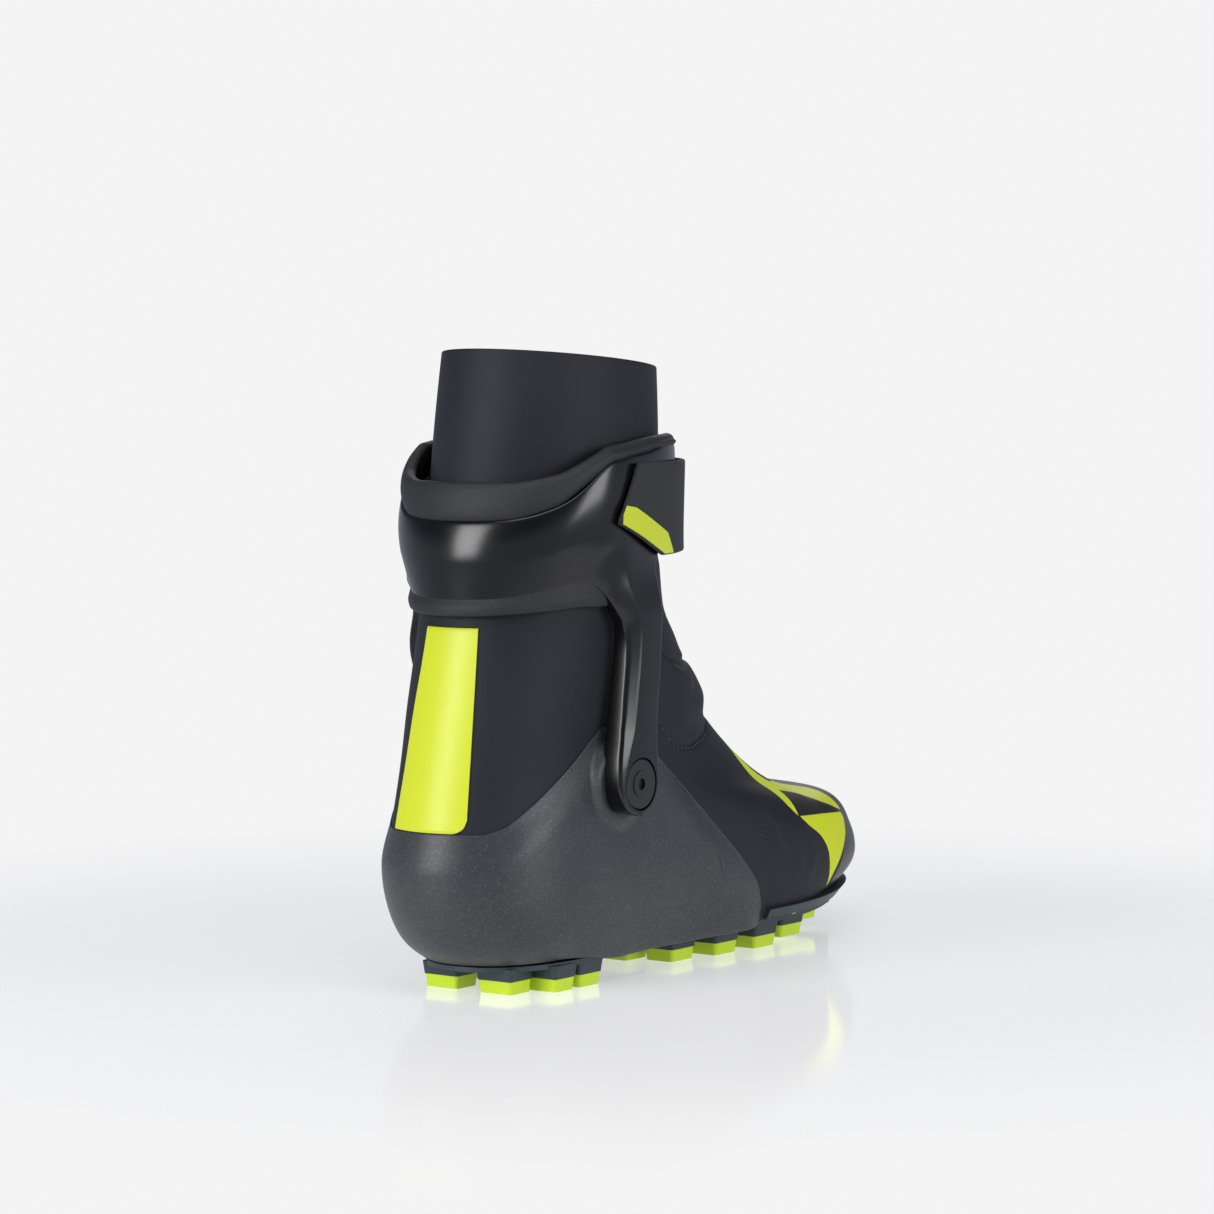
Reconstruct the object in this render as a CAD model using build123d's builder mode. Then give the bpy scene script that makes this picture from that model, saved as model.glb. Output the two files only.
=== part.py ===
"""Cross country skating boot, right foot: carbon heel frame, pivoting cuff, soft upper and lugged sole.

Millimetres. +X points to the toe, +Y to the inner (medial) side, +Z up. The lugs stand on Z = 0.
Every layer of the boot is an offset of one lasted skin, which is lofted through tilted rings.
"""
from build123d import *

import math
import os

os.makedirs("parts", exist_ok=True)

# ---------------------------------------------------------------- driving sizes
SOLE_LENGTH = 292.0  # heel bulge to toe tip
BOOT_HEIGHT = 247.0  # floor to the back of the gaiter's rim
BALL_HALF = 50.0  # half width of the skin at the ball of the foot
HEEL_HALF = 36.0  # half width of the skin at the heel

SKIN_WALL = 1.5  # softshell upper and gaiter
LINER_START = 4.8  # depth of the inner boot's outside below the skin
LINER_WALL = 2.5
PAD_START = 1.8  # depth of the heel padding's outside
LACE_DEPTH = 2.5  # depth of the lace's centre line
FRAME_WALL = 2.4  # carbon heel frame
LAYER_GAP = 0.3  # air between neighbouring layers
CUFF_STANDOFF = 4.0  # skin to the inside of the cuff
CUFF_WALL = 3.0
CUFF_LINING = 2.5

PIVOT_X = -70.0  # ankle pivot, from the middle of the sole length
PIVOT_Z = 79.0
INTERFACE_R = 90.0  # the shaft slides on the lower boot on a cylinder about the pivot
INTERFACE_REAR_R = 70.5  # the same behind the arms, below the cuff's lower edge
LEAN_FORWARD = 15.0  # degrees the cuff leans from rest
LEAN_BACK = 5.0
SWEEP_FRONT = 31.0  # degrees forward of upright that the leaning cuff's band reaches
SWEEP_LOW = 137.0  # height of the lower boot's edge behind the heel, clear of the cuff leaning back
INTERFACE_GAP = 0.6

ARM_INNER = 40.8  # half distance between the thick lower ends of the cuff's arms
ARM_THICK = 7.6
ARM_END_R = 12.6
BUSHING_R = 7.0
BUSHING_PLAY = 0.06
WASHER_R = 10.0
WASHER_WALL = 1.9
WASHER_SEAT_PLAY = 0.4
SCREW_HEAD_R = 5.2
SCREW_HEAD_DEPTH = 1.3
SCREW_SHANK_R = 3.0
TORX_R = 2.4
NUT_FLANGE_R = 7.0
NUT_FLANGE_WALL = 1.2
NUT_BARREL_R = 4.4

PLATE_DROP = 3.0  # skin's underside to the outsole's top
PLATE_RIM = 1.2  # how far the forefoot plate wraps up the skin
OUTSOLE_WALL = 2.0
LUG_TIP_HEIGHT = 5.0
LUG_TAPER = 9.0
TOE_SPRING = 6.0  # how far the front lugs stay off the floor

BAR_R = 2.0
BAR_EXPOSED = 20.0
BAR_X = SOLE_LENGTH / 2 - 26.0
BAR_Z = 10.4
BAR_POCKET = 16.0  # the binding's jaws come up before and behind the bar
BAR_COVER = 3.4  # bar's middle to the underside of its housing

STRAP_WIDTH = 35.0
STRAP_WALL = 2.2
STRAP_LIFT = 1.5  # cuff's outside to the strap's inside
STRAP_TOP = 203.0
STRAP_END_X = -86.0
STRAP_HINGE_X = -62.0

LABEL_WIDTH = 30.0
LABEL_BOTTOM = 67.0
LABEL_TOP = 141.0
FILM = 0.5  # label and printed trims

TOE_CAP_TOP_X = 104.0  # the toe cap's rear edge leans from here
TOE_CAP_LOW_X = 84.0  # down to here

ZIP_RUN = 44.0
ZIP_END_X = TOE_CAP_LOW_X + 3.0
ZIP_START_X = ZIP_END_X - ZIP_RUN
ZIP_Y = 15.0
SLIDER_LENGTH = 8.0

# ---------------------------------------------------------------- the lasted skin
# Each ring: rear x, rear z, front x, front z, heel half width, ball half width,
# share of the ring's length rounded at the rear and at the front, toe bend to the inner side.
# x is in shares of half the sole length, z in shares of the height, widths in shares of their own size.
RINGS = [
    (-0.863, 0.0551, 0.897, 0.0806, 0.86, 0.88, 0.14, 0.36, 9.0),
    (-0.940, 0.0888, 0.972, 0.1092, 0.95, 0.96, 0.14, 0.35, 9.0),
    (-0.993, 0.1541, 0.993, 0.1377, 1.00, 1.00, 0.14, 0.34, 9.0),
    (-1.000, 0.2265, 0.959, 0.1867, 1.00, 0.96, 0.14, 0.34, 9.0),
    (-0.979, 0.3000, 0.836, 0.2265, 0.97, 0.84, 0.15, 0.36, 7.0),
    (-0.952, 0.3724, 0.630, 0.2510, 0.96, 0.68, 0.17, 0.38, 4.0),
    (-0.925, 0.4458, 0.397, 0.3122, 0.97, 0.58, 0.20, 0.36, 2.0),
    (-0.897, 0.5183, 0.205, 0.3969, 1.00, 0.54, 0.26, 0.38, 1.0),
    (-0.870, 0.5989, 0.055, 0.4897, 1.03, 0.60, 0.34, 0.42, 0.0),
    (-0.842, 0.6887, -0.055, 0.6152, 1.08, 0.72, 0.46, 0.50, 0.0),
    (-0.815, 0.7978, -0.103, 0.7611, 1.12, 0.80, 0.50, 0.50, 0.0),
    (-0.788, 0.8990, -0.110, 0.8620, 1.12, 0.81, 0.50, 0.50, 0.0),
    (-0.760, 1.0000, -0.116, 0.9630, 1.09, 0.79, 0.50, 0.50, 0.0),
]
RING_STATIONS = [0, 0.03, 0.12, 0.30, 0.50, 0.70, 0.88, 0.97, 1]
BAND_REAR_ROUND = 0.35  # the cuff is squarer at the back than the leg
BAND_FROM_RING = 7
WAIST_START = 0.30  # the heel width grows into the ball width over this share of a ring
WAIST_LENGTH = 0.42
OPEN_TOP = 12.0  # how far an inner volume runs out of the rim


def smooth(u):
    """A cubic step from 0 to 1."""
    u = min(max(u, 0.0), 1.0)
    return u * u * (3 - 2 * u)


def round_end(u):
    """A quarter circle that rises from 0 to 1 as u does."""
    u = min(max(u, 0.0), 1.0)
    return math.sqrt(1 - (1 - u) ** 2)


def profile(kind):
    """The rear or the front line of the skin as (x, z) points."""
    first = 0 if kind == "rear" else 2
    return [(r[first] * SOLE_LENGTH / 2, r[first + 1] * BOOT_HEIGHT) for r in RINGS]


def inward(points, i, sign):
    """The unit normal of a profile at point i, to the inside of the boot."""
    a = points[max(i - 1, 0)]
    b = points[min(i + 1, len(points) - 1)]
    dx, dz = b[0] - a[0], b[1] - a[1]
    length = math.hypot(dx, dz)
    return (sign * dz / length, -sign * dx / length)


def ring_ends(i, inset):
    """Rear and front point of ring i, moved inwards by inset."""
    rear, front = profile("rear"), profile("front")
    to_rear = (1, 1) if i == 0 else inward(rear, i, 1)
    to_front = (-1, 1) if i == 0 else inward(front, i, -1)
    back = (rear[i][0] + inset * to_rear[0], rear[i][1] + inset * to_rear[1])
    nose = (front[i][0] + inset * to_front[0], front[i][1] + inset * to_front[1])
    return back, nose


def half_width(i, share, inset, band=False):
    """Half width of ring i at a share of its length, moved inwards by inset."""
    heel = RINGS[i][4] * HEEL_HALF - inset
    ball = RINGS[i][5] * BALL_HALF - inset
    rear_round, front_round = RINGS[i][6], RINGS[i][7]
    if band and i >= BAND_FROM_RING:
        rear_round = BAND_REAR_ROUND
    width = heel + (ball - heel) * smooth((share - WAIST_START) / WAIST_LENGTH)
    return width * round_end(share / rear_round) * round_end((1 - share) / front_round)


def toe_shift(i, share):
    """How far the ring's middle lies to the inner side, because the foot bends inwards."""
    return RINGS[i][8] * max(0.0, (share - 0.5) / 0.5) ** 2


def ring_points(i, length, inset, band=False):
    """The closed outline of ring i in its own plane, x along the ring and y to the inner side."""
    points = []
    for side, shares in ((-1, RING_STATIONS), (1, RING_STATIONS[-2:0:-1])):
        for share in shares:
            y = side * half_width(i, share, inset, band) + toe_shift(i, share)
            points.append((share * length, y))
    return points


def ring_plane(back, nose, lift=0.0):
    """The tilted plane through a ring's rear and front points."""
    along = (nose[0] - back[0], 0, nose[1] - back[1])
    up = (-along[2], 0, along[0])
    return Plane(origin=(back[0], 0, back[1] + lift), x_dir=along, z_dir=up)


_made = {}


def last(inset, band=False):
    """The closed volume inside the skin moved inwards by inset. A negative inset lies outside the skin."""
    if (inset, band) in _made:
        return _made[inset, band]
    with BuildPart() as volume:
        for i in range(len(RINGS) + 1):
            ring = min(i, len(RINGS) - 1)
            lift = OPEN_TOP if i == len(RINGS) else 0.0
            back, nose = ring_ends(ring, inset)
            length = math.dist(back, nose)
            with BuildSketch(ring_plane(back, nose, lift)):
                with BuildLine():
                    Spline(*ring_points(ring, length, inset, band), periodic=True)
                make_face()
        loft()
    _made[inset, band] = volume.part
    return volume.part


def skin_height(x, y, inset=0.0):
    """Height of the skin's upper side over a point of the floor."""
    probe = Line((x, y, 0), (x, y, 2 * BOOT_HEIGHT))
    inside = last(inset) & probe
    return max(v.Z for v in inside.vertices())


def side_reach(x, z, inset):
    """Y of the band layers' surface on the inner side of the boot, at a point of the side view."""
    probe = Line((x, 0, z), (x, 3 * ARM_INNER, z))
    inside = last(inset, True) & probe
    return max(v.Y for v in inside.vertices())


def save(piece, name):
    """Labels a finished piece and writes it as one node."""
    piece.part.label = name
    export_step(piece.part, f"parts/{name}.step")


def shell(outer, inner, band=False):
    """A layer of the boot between two offsets of the skin, as one solid."""
    add(last(outer, band))
    add(last(inner, band), mode=Mode.SUBTRACT)


def keep_side(points, radius, low_y=-100.0, high_y=100.0, shrink=0.0):
    """Cuts the part to a side outline, drawn in the XZ plane with rounded corners."""
    with BuildSketch(Plane.XZ.offset(-high_y)) as outline:
        with BuildLine():
            FilletPolyline(*points, radius=radius, close=True)
        make_face()
        if shrink:
            offset(amount=-shrink, kind=Kind.INTERSECTION)
    extrude(outline.sketch, amount=high_y - low_y, mode=Mode.INTERSECT)


def drop_side(points, radius):
    """Removes a side outline from the part."""
    with BuildSketch(Plane.XZ.offset(-100)) as outline:
        with BuildLine():
            FilletPolyline(*points, radius=radius, close=True)
        make_face()
    extrude(outline.sketch, amount=200, mode=Mode.SUBTRACT)


def pivot_cylinder(radius, mode):
    """A wide cylinder on the pivot's axis, for the joint between the shaft and the lower boot."""
    with Locations(Location((PIVOT_X, 0, PIVOT_Z), (90, 0, 0))):
        Cylinder(radius, 3 * ARM_INNER, mode=mode)


REAR_X = -SOLE_LENGTH / 2 - 30
TOE_X = SOLE_LENGTH / 2 + 30
SOLE_REAR, SOLE_FRONT = profile("rear")[0], profile("front")[0]
SOLE_SLOPE = (SOLE_FRONT[1] - SOLE_REAR[1]) / (SOLE_FRONT[0] - SOLE_REAR[0])


def sole_z(x):
    """Height of the skin's underside at x."""
    return SOLE_REAR[1] + SOLE_SLOPE * (x - SOLE_REAR[0])


# ---------------------------------------------------------------- side outlines
FRAME_TOP_REAR = LABEL_BOTTOM - 2.5
FRAME_FRONT = 26.0
FRAME_OUTLINE = [
    (REAR_X, -20),
    (REAR_X, FRAME_TOP_REAR),
    (PIVOT_X - 61, FRAME_TOP_REAR),
    (PIVOT_X - 13, PIVOT_Z + 21),
    (PIVOT_X + 12, PIVOT_Z + 23),
    (PIVOT_X + 54, PIVOT_Z - 13),
    (PIVOT_X + 86, PIVOT_Z - 47),
    (FRAME_FRONT, sole_z(FRAME_FRONT)),
    (FRAME_FRONT, -20),
]
FLEX_PANEL = [
    (PIVOT_X + 26, PIVOT_Z + 60),
    (PIVOT_X + 24, PIVOT_Z + 27),
    (PIVOT_X + 48, PIVOT_Z + 11),
    (PIVOT_X + 84, PIVOT_Z + 16),
    (PIVOT_X + 116, PIVOT_Z + 31),
    (PIVOT_X + 116, PIVOT_Z + 60),
]

# cuff: band round the back of the leg, with an arm down each side to the pivot
BAND_LOW_REAR = 150.0
BAND_LOW_PEAK = 158.0
BAND_TOP_REAR = 182.0
BAND_TOP_FRONT = 208.0
BAND_FRONT_X = -33.0
ARM_FRONT = 15.0  # the arm's front edge, from the pivot forwards
BAND_OUTLINE = [
    (REAR_X, BAND_LOW_REAR),
    (PIVOT_X - 57, BAND_LOW_REAR + 1),
    (PIVOT_X - 27, BAND_LOW_PEAK),
    (PIVOT_X - 5, BAND_LOW_PEAK - 17),
    (PIVOT_X + ARM_FRONT - 1, BAND_LOW_PEAK - 17),
    (PIVOT_X + ARM_FRONT, BAND_LOW_PEAK + 4),
    (BAND_FRONT_X, BAND_LOW_PEAK + 24),
    (BAND_FRONT_X, BAND_TOP_FRONT + 1),
    (PIVOT_X + 11, BAND_TOP_FRONT),
    (PIVOT_X - 18, BAND_TOP_FRONT - 4),
    (PIVOT_X - 47, BAND_TOP_REAR + 2),
    (PIVOT_X - 63, BAND_TOP_REAR),
    (REAR_X, BAND_TOP_REAR),
]
ARM_CORNER_R = 2.5
ARM_TOP = 166.0  # the arms' flat part runs out into the band here
ARM_REAR_EDGE = [(-ARM_END_R + 0.3, 2), (-9.5, 12), (-3.5, 36), (-1.8, 54), (-3, ARM_TOP - PIVOT_Z)]
ARM_FRONT_EDGE = [(ARM_FRONT - 1, ARM_TOP - PIVOT_Z), (ARM_FRONT, 54), (ARM_FRONT - 3, 36),
                  (ARM_FRONT - 4.6, 14), (ARM_END_R - 0.3, 2)]
PAD_RISE_REAR = 13.0  # how far the collar pad stands above the shell
PAD_RISE_FRONT = 3.0
PAD_OUTLINE = [
    (REAR_X, BAND_TOP_REAR + LAYER_GAP),
    (PIVOT_X - 63, BAND_TOP_REAR + LAYER_GAP),
    (PIVOT_X - 47, BAND_TOP_REAR + 2 + LAYER_GAP),
    (PIVOT_X - 18, BAND_TOP_FRONT - 4 + LAYER_GAP),
    (PIVOT_X + 11, BAND_TOP_FRONT + LAYER_GAP),
    (BAND_FRONT_X, BAND_TOP_FRONT + 1 + LAYER_GAP),
    (BAND_FRONT_X, BAND_TOP_FRONT + PAD_RISE_FRONT + 1),
    (PIVOT_X + 11, BAND_TOP_FRONT + PAD_RISE_FRONT),
    (PIVOT_X - 18, BAND_TOP_FRONT + 1),
    (PIVOT_X - 47, BAND_TOP_REAR + PAD_RISE_REAR),
    (REAR_X, BAND_TOP_REAR + PAD_RISE_REAR),
]
LINING_LIP = 4.0  # how far the lining shows below the shell
LINING_OUTLINE = [
    (REAR_X, BAND_LOW_REAR - LINING_LIP),
    (PIVOT_X - 57, BAND_LOW_REAR - LINING_LIP),
    (PIVOT_X - 14, BAND_LOW_PEAK - 8),
    (PIVOT_X + ARM_FRONT, BAND_LOW_PEAK - 6),
    (BAND_FRONT_X - 2, BAND_LOW_PEAK + 27),
    (BAND_FRONT_X - 2, BAND_TOP_FRONT - 1),
    (PIVOT_X + 11, BAND_TOP_FRONT - 2),
    (PIVOT_X - 18, BAND_TOP_FRONT - 9),
    (PIVOT_X - 47, BAND_TOP_REAR),
    (REAR_X, BAND_TOP_REAR - 2),
]
CUFF_INSIDE = -CUFF_STANDOFF
CUFF_OUTSIDE = CUFF_INSIDE - CUFF_WALL
LINING_OUTSIDE = CUFF_INSIDE + LAYER_GAP
LINING_INSIDE = LINING_OUTSIDE + CUFF_LINING

STRAP_INSIDE = CUFF_OUTSIDE - STRAP_LIFT
STRAP_OUTSIDE = STRAP_INSIDE - STRAP_WALL
STRAP_LOW = STRAP_TOP - STRAP_WIDTH
STRAP_TAB_RISE = 13.0  # the free end's lower edge rises by this much
STRAP_END_OUTLINE = [
    (STRAP_END_X, STRAP_LOW + STRAP_TAB_RISE),
    (STRAP_END_X + 11, STRAP_TOP),
    (TOE_X, STRAP_TOP),
    (TOE_X, STRAP_LOW),
    (STRAP_END_X + 33, STRAP_LOW),
]
STRAP_ROOT_OUTLINE = [
    (STRAP_HINGE_X, STRAP_LOW),
    (STRAP_HINGE_X, STRAP_TOP),
    (TOE_X, STRAP_TOP),
    (TOE_X, STRAP_LOW),
]


# ---------------------------------------------------------------- lower boot: soft parts
def make_upper():
    """Softshell upper from the sole to the ankle, with a hole for the stretch panel on the instep."""
    with BuildPart() as upper:
        shell(0, SKIN_WALL)
        keep_lower_boot()
        drop_side(FLEX_PANEL, 6)
    save(upper, "upper")


def rear_sector(front_angle, low, radius):
    """Outline from the side of the space behind a line through the pivot, above a height and outside a radius."""
    high = BOOT_HEIGHT + 40
    slope = math.tan(math.radians(front_angle))
    with BuildSketch(Plane.XZ.offset(-100)) as outline:
        with BuildLine():
            Polyline((REAR_X, low), (PIVOT_X + (low - PIVOT_Z) * slope, low),
                     (PIVOT_X + (high - PIVOT_Z) * slope, high), (REAR_X, high), close=True)
        make_face()
        with Locations((PIVOT_X, PIVOT_Z)):
            Circle(radius, mode=Mode.SUBTRACT)
    return outline.sketch


def keep_lower_boot():
    """Keeps what lies inside the pivot's cylinder or in front of and below the ankle, clear of the leaning cuff."""
    with BuildSketch(Plane.XZ.offset(-100)) as outline:
        with Locations((PIVOT_X, PIVOT_Z)):
            Circle(INTERFACE_R)
        with BuildLine():
            Polyline((REAR_X, -20), (TOE_X, -20), (TOE_X, PIVOT_Z + 30), (PIVOT_X + 60, PIVOT_Z + 30),
                     (PIVOT_X + 60, PIVOT_Z), (REAR_X, PIVOT_Z), close=True)
        make_face()
    extrude(outline.sketch, amount=200, mode=Mode.INTERSECT)
    extrude(rear_sector(SWEEP_FRONT, SWEEP_LOW, INTERFACE_REAR_R), amount=200, mode=Mode.SUBTRACT)


def make_flex_panel():
    """Stretch panel over the instep, sewn into the upper above the vamp."""
    seam = 0.15
    with BuildPart() as panel:
        shell(0, SKIN_WALL)
        keep_lower_boot()
        keep_side(FLEX_PANEL, 6, shrink=seam)
    save(panel, "instep_stretch_panel")


def make_inner_boot():
    """Soft inner boot that the foot goes into, up to the ankle joint."""
    with BuildPart() as inner:
        shell(LINER_START, LINER_START + LINER_WALL)
        keep_lower_boot()
    save(inner, "inner_boot")


def make_heel_padding():
    """Foam between the upper and the inner boot, round the heel and under the ankle bones."""
    padding_front = PIVOT_X + 8
    with BuildPart() as padding:
        shell(PAD_START, LINER_START - LAYER_GAP)
        keep_lower_boot()
        keep_side([(REAR_X, 30), (REAR_X, 300), (padding_front, 300), (padding_front, 30)], 4)
    save(padding, "heel_padding")


def make_lasting_board():
    """Stiff board under the foot, between the upper's floor and the inner boot's floor."""
    board_wall = LINER_START - PAD_START - 3 * LAYER_GAP
    back, nose = ring_ends(0, PAD_START)
    with BuildPart() as board:
        with BuildSketch(ring_plane(back, nose)):
            with BuildLine():
                Spline(*ring_points(0, math.dist(back, nose), 3 * PAD_START), periodic=True)
            make_face()
        extrude(amount=board_wall)
        add(last(SKIN_WALL + LAYER_GAP), mode=Mode.INTERSECT)
    save(board, "lasting_board")


def make_footbed():
    """Removable cushioned footbed on the inner boot's floor."""
    footbed_wall = 3.5
    depth = LINER_START + LINER_WALL + LAYER_GAP
    back, nose = ring_ends(0, depth)
    with BuildPart() as footbed:
        with BuildSketch(ring_plane(back, nose)):
            with BuildLine():
                Spline(*ring_points(0, math.dist(back, nose), depth), periodic=True)
            make_face()
        extrude(amount=footbed_wall)
        add(last(depth), mode=Mode.INTERSECT)
    save(footbed, "footbed")


LACE_X = [46.0, 33.0, 21.0, 10.0, 0.0]  # eyelet rows, from the toe end up
EYELET_Y = 17.0
EYESTAY_INNER_Y = 13.0
EYESTAY_OUTER_Y = 24.0
TONGUE_GAP = 1.0
THROAT_FRONT = 56.0
THROAT_REAR = -8.0
THROAT_TOP = 2 * BOOT_HEIGHT
LACE_R = 0.6
LACE_BEND_R = 9.0


def throat_layer(low_y, high_y):
    """A strip of the layer under the lace, seen from above between two lines."""
    shell(LACE_DEPTH + LACE_R + 2 * LAYER_GAP, LINER_START - LAYER_GAP / 2)
    keep_lower_boot()
    with BuildSketch(Plane.XY.offset(sole_z(0) + 25)) as strip:
        with Locations(((THROAT_FRONT + THROAT_REAR) / 2, (low_y + high_y) / 2)):
            Rectangle(THROAT_FRONT - THROAT_REAR, high_y - low_y)
    extrude(strip.sketch, amount=THROAT_TOP, mode=Mode.INTERSECT)


def make_tongue():
    """Tongue between the two eyestays."""
    with BuildPart() as tongue:
        throat_layer(TONGUE_GAP - EYESTAY_INNER_Y, EYESTAY_INNER_Y - TONGUE_GAP)
    save(tongue, "tongue")


def make_eyestays():
    """The two reinforced strips that hold the lace loops."""
    with BuildPart() as lateral:
        throat_layer(-EYESTAY_OUTER_Y, -EYESTAY_INNER_Y)
    with BuildPart() as medial:
        throat_layer(EYESTAY_INNER_Y, EYESTAY_OUTER_Y)
    with BuildPart() as eyestays:
        add(lateral.part)
        add(medial.part)
    save(eyestays, "lace_eyestays")


def make_lace():
    """Quick lace: one thin cord that zigzags over the tongue on curved runs."""
    turns = []
    for row, x in enumerate(LACE_X):
        y = EYELET_Y if row % 2 else -EYELET_Y
        turns.append(Vector(x, y, skin_height(x, y, LACE_DEPTH)))
    with BuildPart() as lace:
        for start, stop in zip(turns, turns[1:]):
            points = [start]
            for share in (0.2, 0.4, 0.6, 0.8):
                spot = start + (stop - start) * share
                points.append(Vector(spot.X, spot.Y, skin_height(spot.X, spot.Y, LACE_DEPTH)))
            with BuildLine() as run:
                FilletPolyline(*points, stop, radius=LACE_BEND_R)
            with BuildSketch(Plane(origin=start, z_dir=run.wire() % 0)):
                Circle(LACE_R)
            sweep(path=run.wire())
        with Locations(*turns):
            Sphere(LACE_R * 1.05)
    save(lace, "quick_lace")


def make_lace_lock():
    """Flat cord lock that clamps the two lace ends at the top of the throat."""
    lock_length, lock_width, lock_wall = 9.0, 12.0, 1.1
    x = THROAT_REAR + 2
    low = Vector(x - 4, 0, skin_height(x - 4, 0, LACE_DEPTH + 0.2))
    high = Vector(x + 4, 0, skin_height(x + 4, 0, LACE_DEPTH + 0.2))
    along = high - low
    centre = (low + high) / 2
    with BuildPart() as lock:
        with BuildSketch(Plane(origin=centre, x_dir=along, z_dir=Vector(-along.Z, 0, along.X))):
            RectangleRounded(lock_length, lock_width, 2)
        extrude(amount=lock_wall / 2, both=True)
        add(last(PAD_START), mode=Mode.INTERSECT)
        add(last(LACE_DEPTH + LACE_R + LAYER_GAP), mode=Mode.SUBTRACT)
        keep_lower_boot()
    save(lock, "lace_lock")


def make_toe_cap():
    """Glossy scuff cap bonded over the toe."""
    with BuildPart() as cap:
        shell(-LAYER_GAP - 0.9, -LAYER_GAP)
        low = PLATE_RIM + LAYER_GAP
        keep_side([(TOE_CAP_LOW_X, sole_z(TOE_CAP_LOW_X) + low), (TOE_CAP_TOP_X, 90), (TOE_X, 90),
                   (TOE_X, sole_z(TOE_X) + low)], 2)
    save(cap, "toe_cap")


def make_heel_label():
    """Bright label on the back of the heel."""
    with BuildPart() as label:
        shell(-FILM - 0.1, -0.1)
        with BuildSketch(Plane.YZ.offset(REAR_X)):
            with Locations((0, (LABEL_BOTTOM + LABEL_TOP) / 2)):
                RectangleRounded(LABEL_WIDTH, LABEL_TOP - LABEL_BOTTOM, 2)
        extrude(amount=abs(REAR_X) + PIVOT_X - 20, mode=Mode.INTERSECT)
    save(label, "heel_label")


# ---------------------------------------------------------------- lower boot: frame and sole
PIVOT_SIDE = Plane(origin=(PIVOT_X, 0, PIVOT_Z), x_dir=(1, 0, 0), z_dir=(0, -1, 0))
SKIN_AT_PIVOT = RINGS[4][4] * HEEL_HALF
BOSS_R = 15.0
BOSS_FACE = ARM_INNER - 0.4
NUT_SEAT = SKIN_AT_PIVOT + 1.0
ARM_FACE = ARM_INNER + ARM_THICK
WASHER_SEAT = ARM_FACE - WASHER_WALL


def both_sides(sketch_radius, near, far, mode=Mode.ADD):
    """Round discs on the pivot's axis, from near to far from the middle, on both sides of the boot."""
    for side in (1, -1):
        with BuildSketch(PIVOT_SIDE.offset(side * near)) as disc:
            Circle(sketch_radius)
        extrude(disc.sketch, amount=side * (far - near), mode=mode)


def make_heel_frame():
    """Carbon frame: a cup round the heel that runs forward under the foot and up to the pivot bosses."""
    with BuildPart() as frame:
        shell(-LAYER_GAP - FRAME_WALL, -LAYER_GAP)
        keep_side(FRAME_OUTLINE, 9)
        both_sides(BOSS_R, SKIN_AT_PIVOT + 1.2, BOSS_FACE)
        add(last(-LAYER_GAP), mode=Mode.SUBTRACT)
        both_sides(NUT_FLANGE_R + 0.1, SKIN_AT_PIVOT - 3, NUT_SEAT + NUT_FLANGE_WALL, mode=Mode.SUBTRACT)
        both_sides(NUT_BARREL_R + 0.05, SKIN_AT_PIVOT, BOSS_FACE + 1, mode=Mode.SUBTRACT)
    save(frame, "heel_frame")


def make_pivot_hardware():
    """Bushings, washers, screws and T-nuts of the two ankle pivots."""
    with BuildPart() as bushings:
        both_sides(BUSHING_R, BOSS_FACE, WASHER_SEAT)
        both_sides(SCREW_SHANK_R + 0.05, BOSS_FACE - 1, WASHER_SEAT + 1, mode=Mode.SUBTRACT)
    save(bushings, "pivot_bushings")

    head_floor = WASHER_SEAT + WASHER_WALL - SCREW_HEAD_DEPTH
    with BuildPart() as washers:
        both_sides(WASHER_R, WASHER_SEAT, WASHER_SEAT + WASHER_WALL)
        chamfer(washers.edges().filter_by(GeomType.CIRCLE).group_by(Axis.Y)[0], 0.5)
        chamfer(washers.edges().filter_by(GeomType.CIRCLE).group_by(Axis.Y)[-1], 0.5)
        both_sides(SCREW_SHANK_R + 0.05, WASHER_SEAT - 1, WASHER_SEAT + 5, mode=Mode.SUBTRACT)
        both_sides(SCREW_HEAD_R + 0.1, head_floor, WASHER_SEAT + 5, mode=Mode.SUBTRACT)
    save(washers, "pivot_washers")

    nut_face = NUT_SEAT
    with BuildPart() as screws:
        both_sides(SCREW_HEAD_R, head_floor, head_floor + SCREW_HEAD_DEPTH + 0.3)
        both_sides(SCREW_SHANK_R, nut_face + NUT_FLANGE_WALL, head_floor)
        for side in (1, -1):
            with BuildSketch(PIVOT_SIDE.offset(side * (head_floor + SCREW_HEAD_DEPTH + 0.3))):
                RegularPolygon(TORX_R, 6)
                RegularPolygon(TORX_R, 6, rotation=30)
            extrude(amount=-side * SCREW_HEAD_DEPTH, mode=Mode.SUBTRACT)
    save(screws, "pivot_screws")

    with BuildPart() as nuts:
        both_sides(NUT_FLANGE_R, nut_face, nut_face + NUT_FLANGE_WALL - 0.1)
        both_sides(NUT_BARREL_R, nut_face, BOSS_FACE - 0.3)
        both_sides(SCREW_SHANK_R + 0.02, nut_face + NUT_FLANGE_WALL - 0.1, BOSS_FACE + 1, mode=Mode.SUBTRACT)
    save(nuts, "pivot_nuts")


def make_forefoot_plate():
    """Flexible plate that carries on from the frame under the ball and the toes."""
    with BuildPart() as plate:
        shell(-LAYER_GAP - FRAME_WALL, -LAYER_GAP)
        front = FRAME_FRONT + LAYER_GAP
        keep_side([(front, -20), (front, sole_z(front) + PLATE_RIM), (TOE_X, sole_z(TOE_X) + PLATE_RIM),
                   (TOE_X, -20)], 0.3)
    save(plate, "forefoot_plate")


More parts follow.
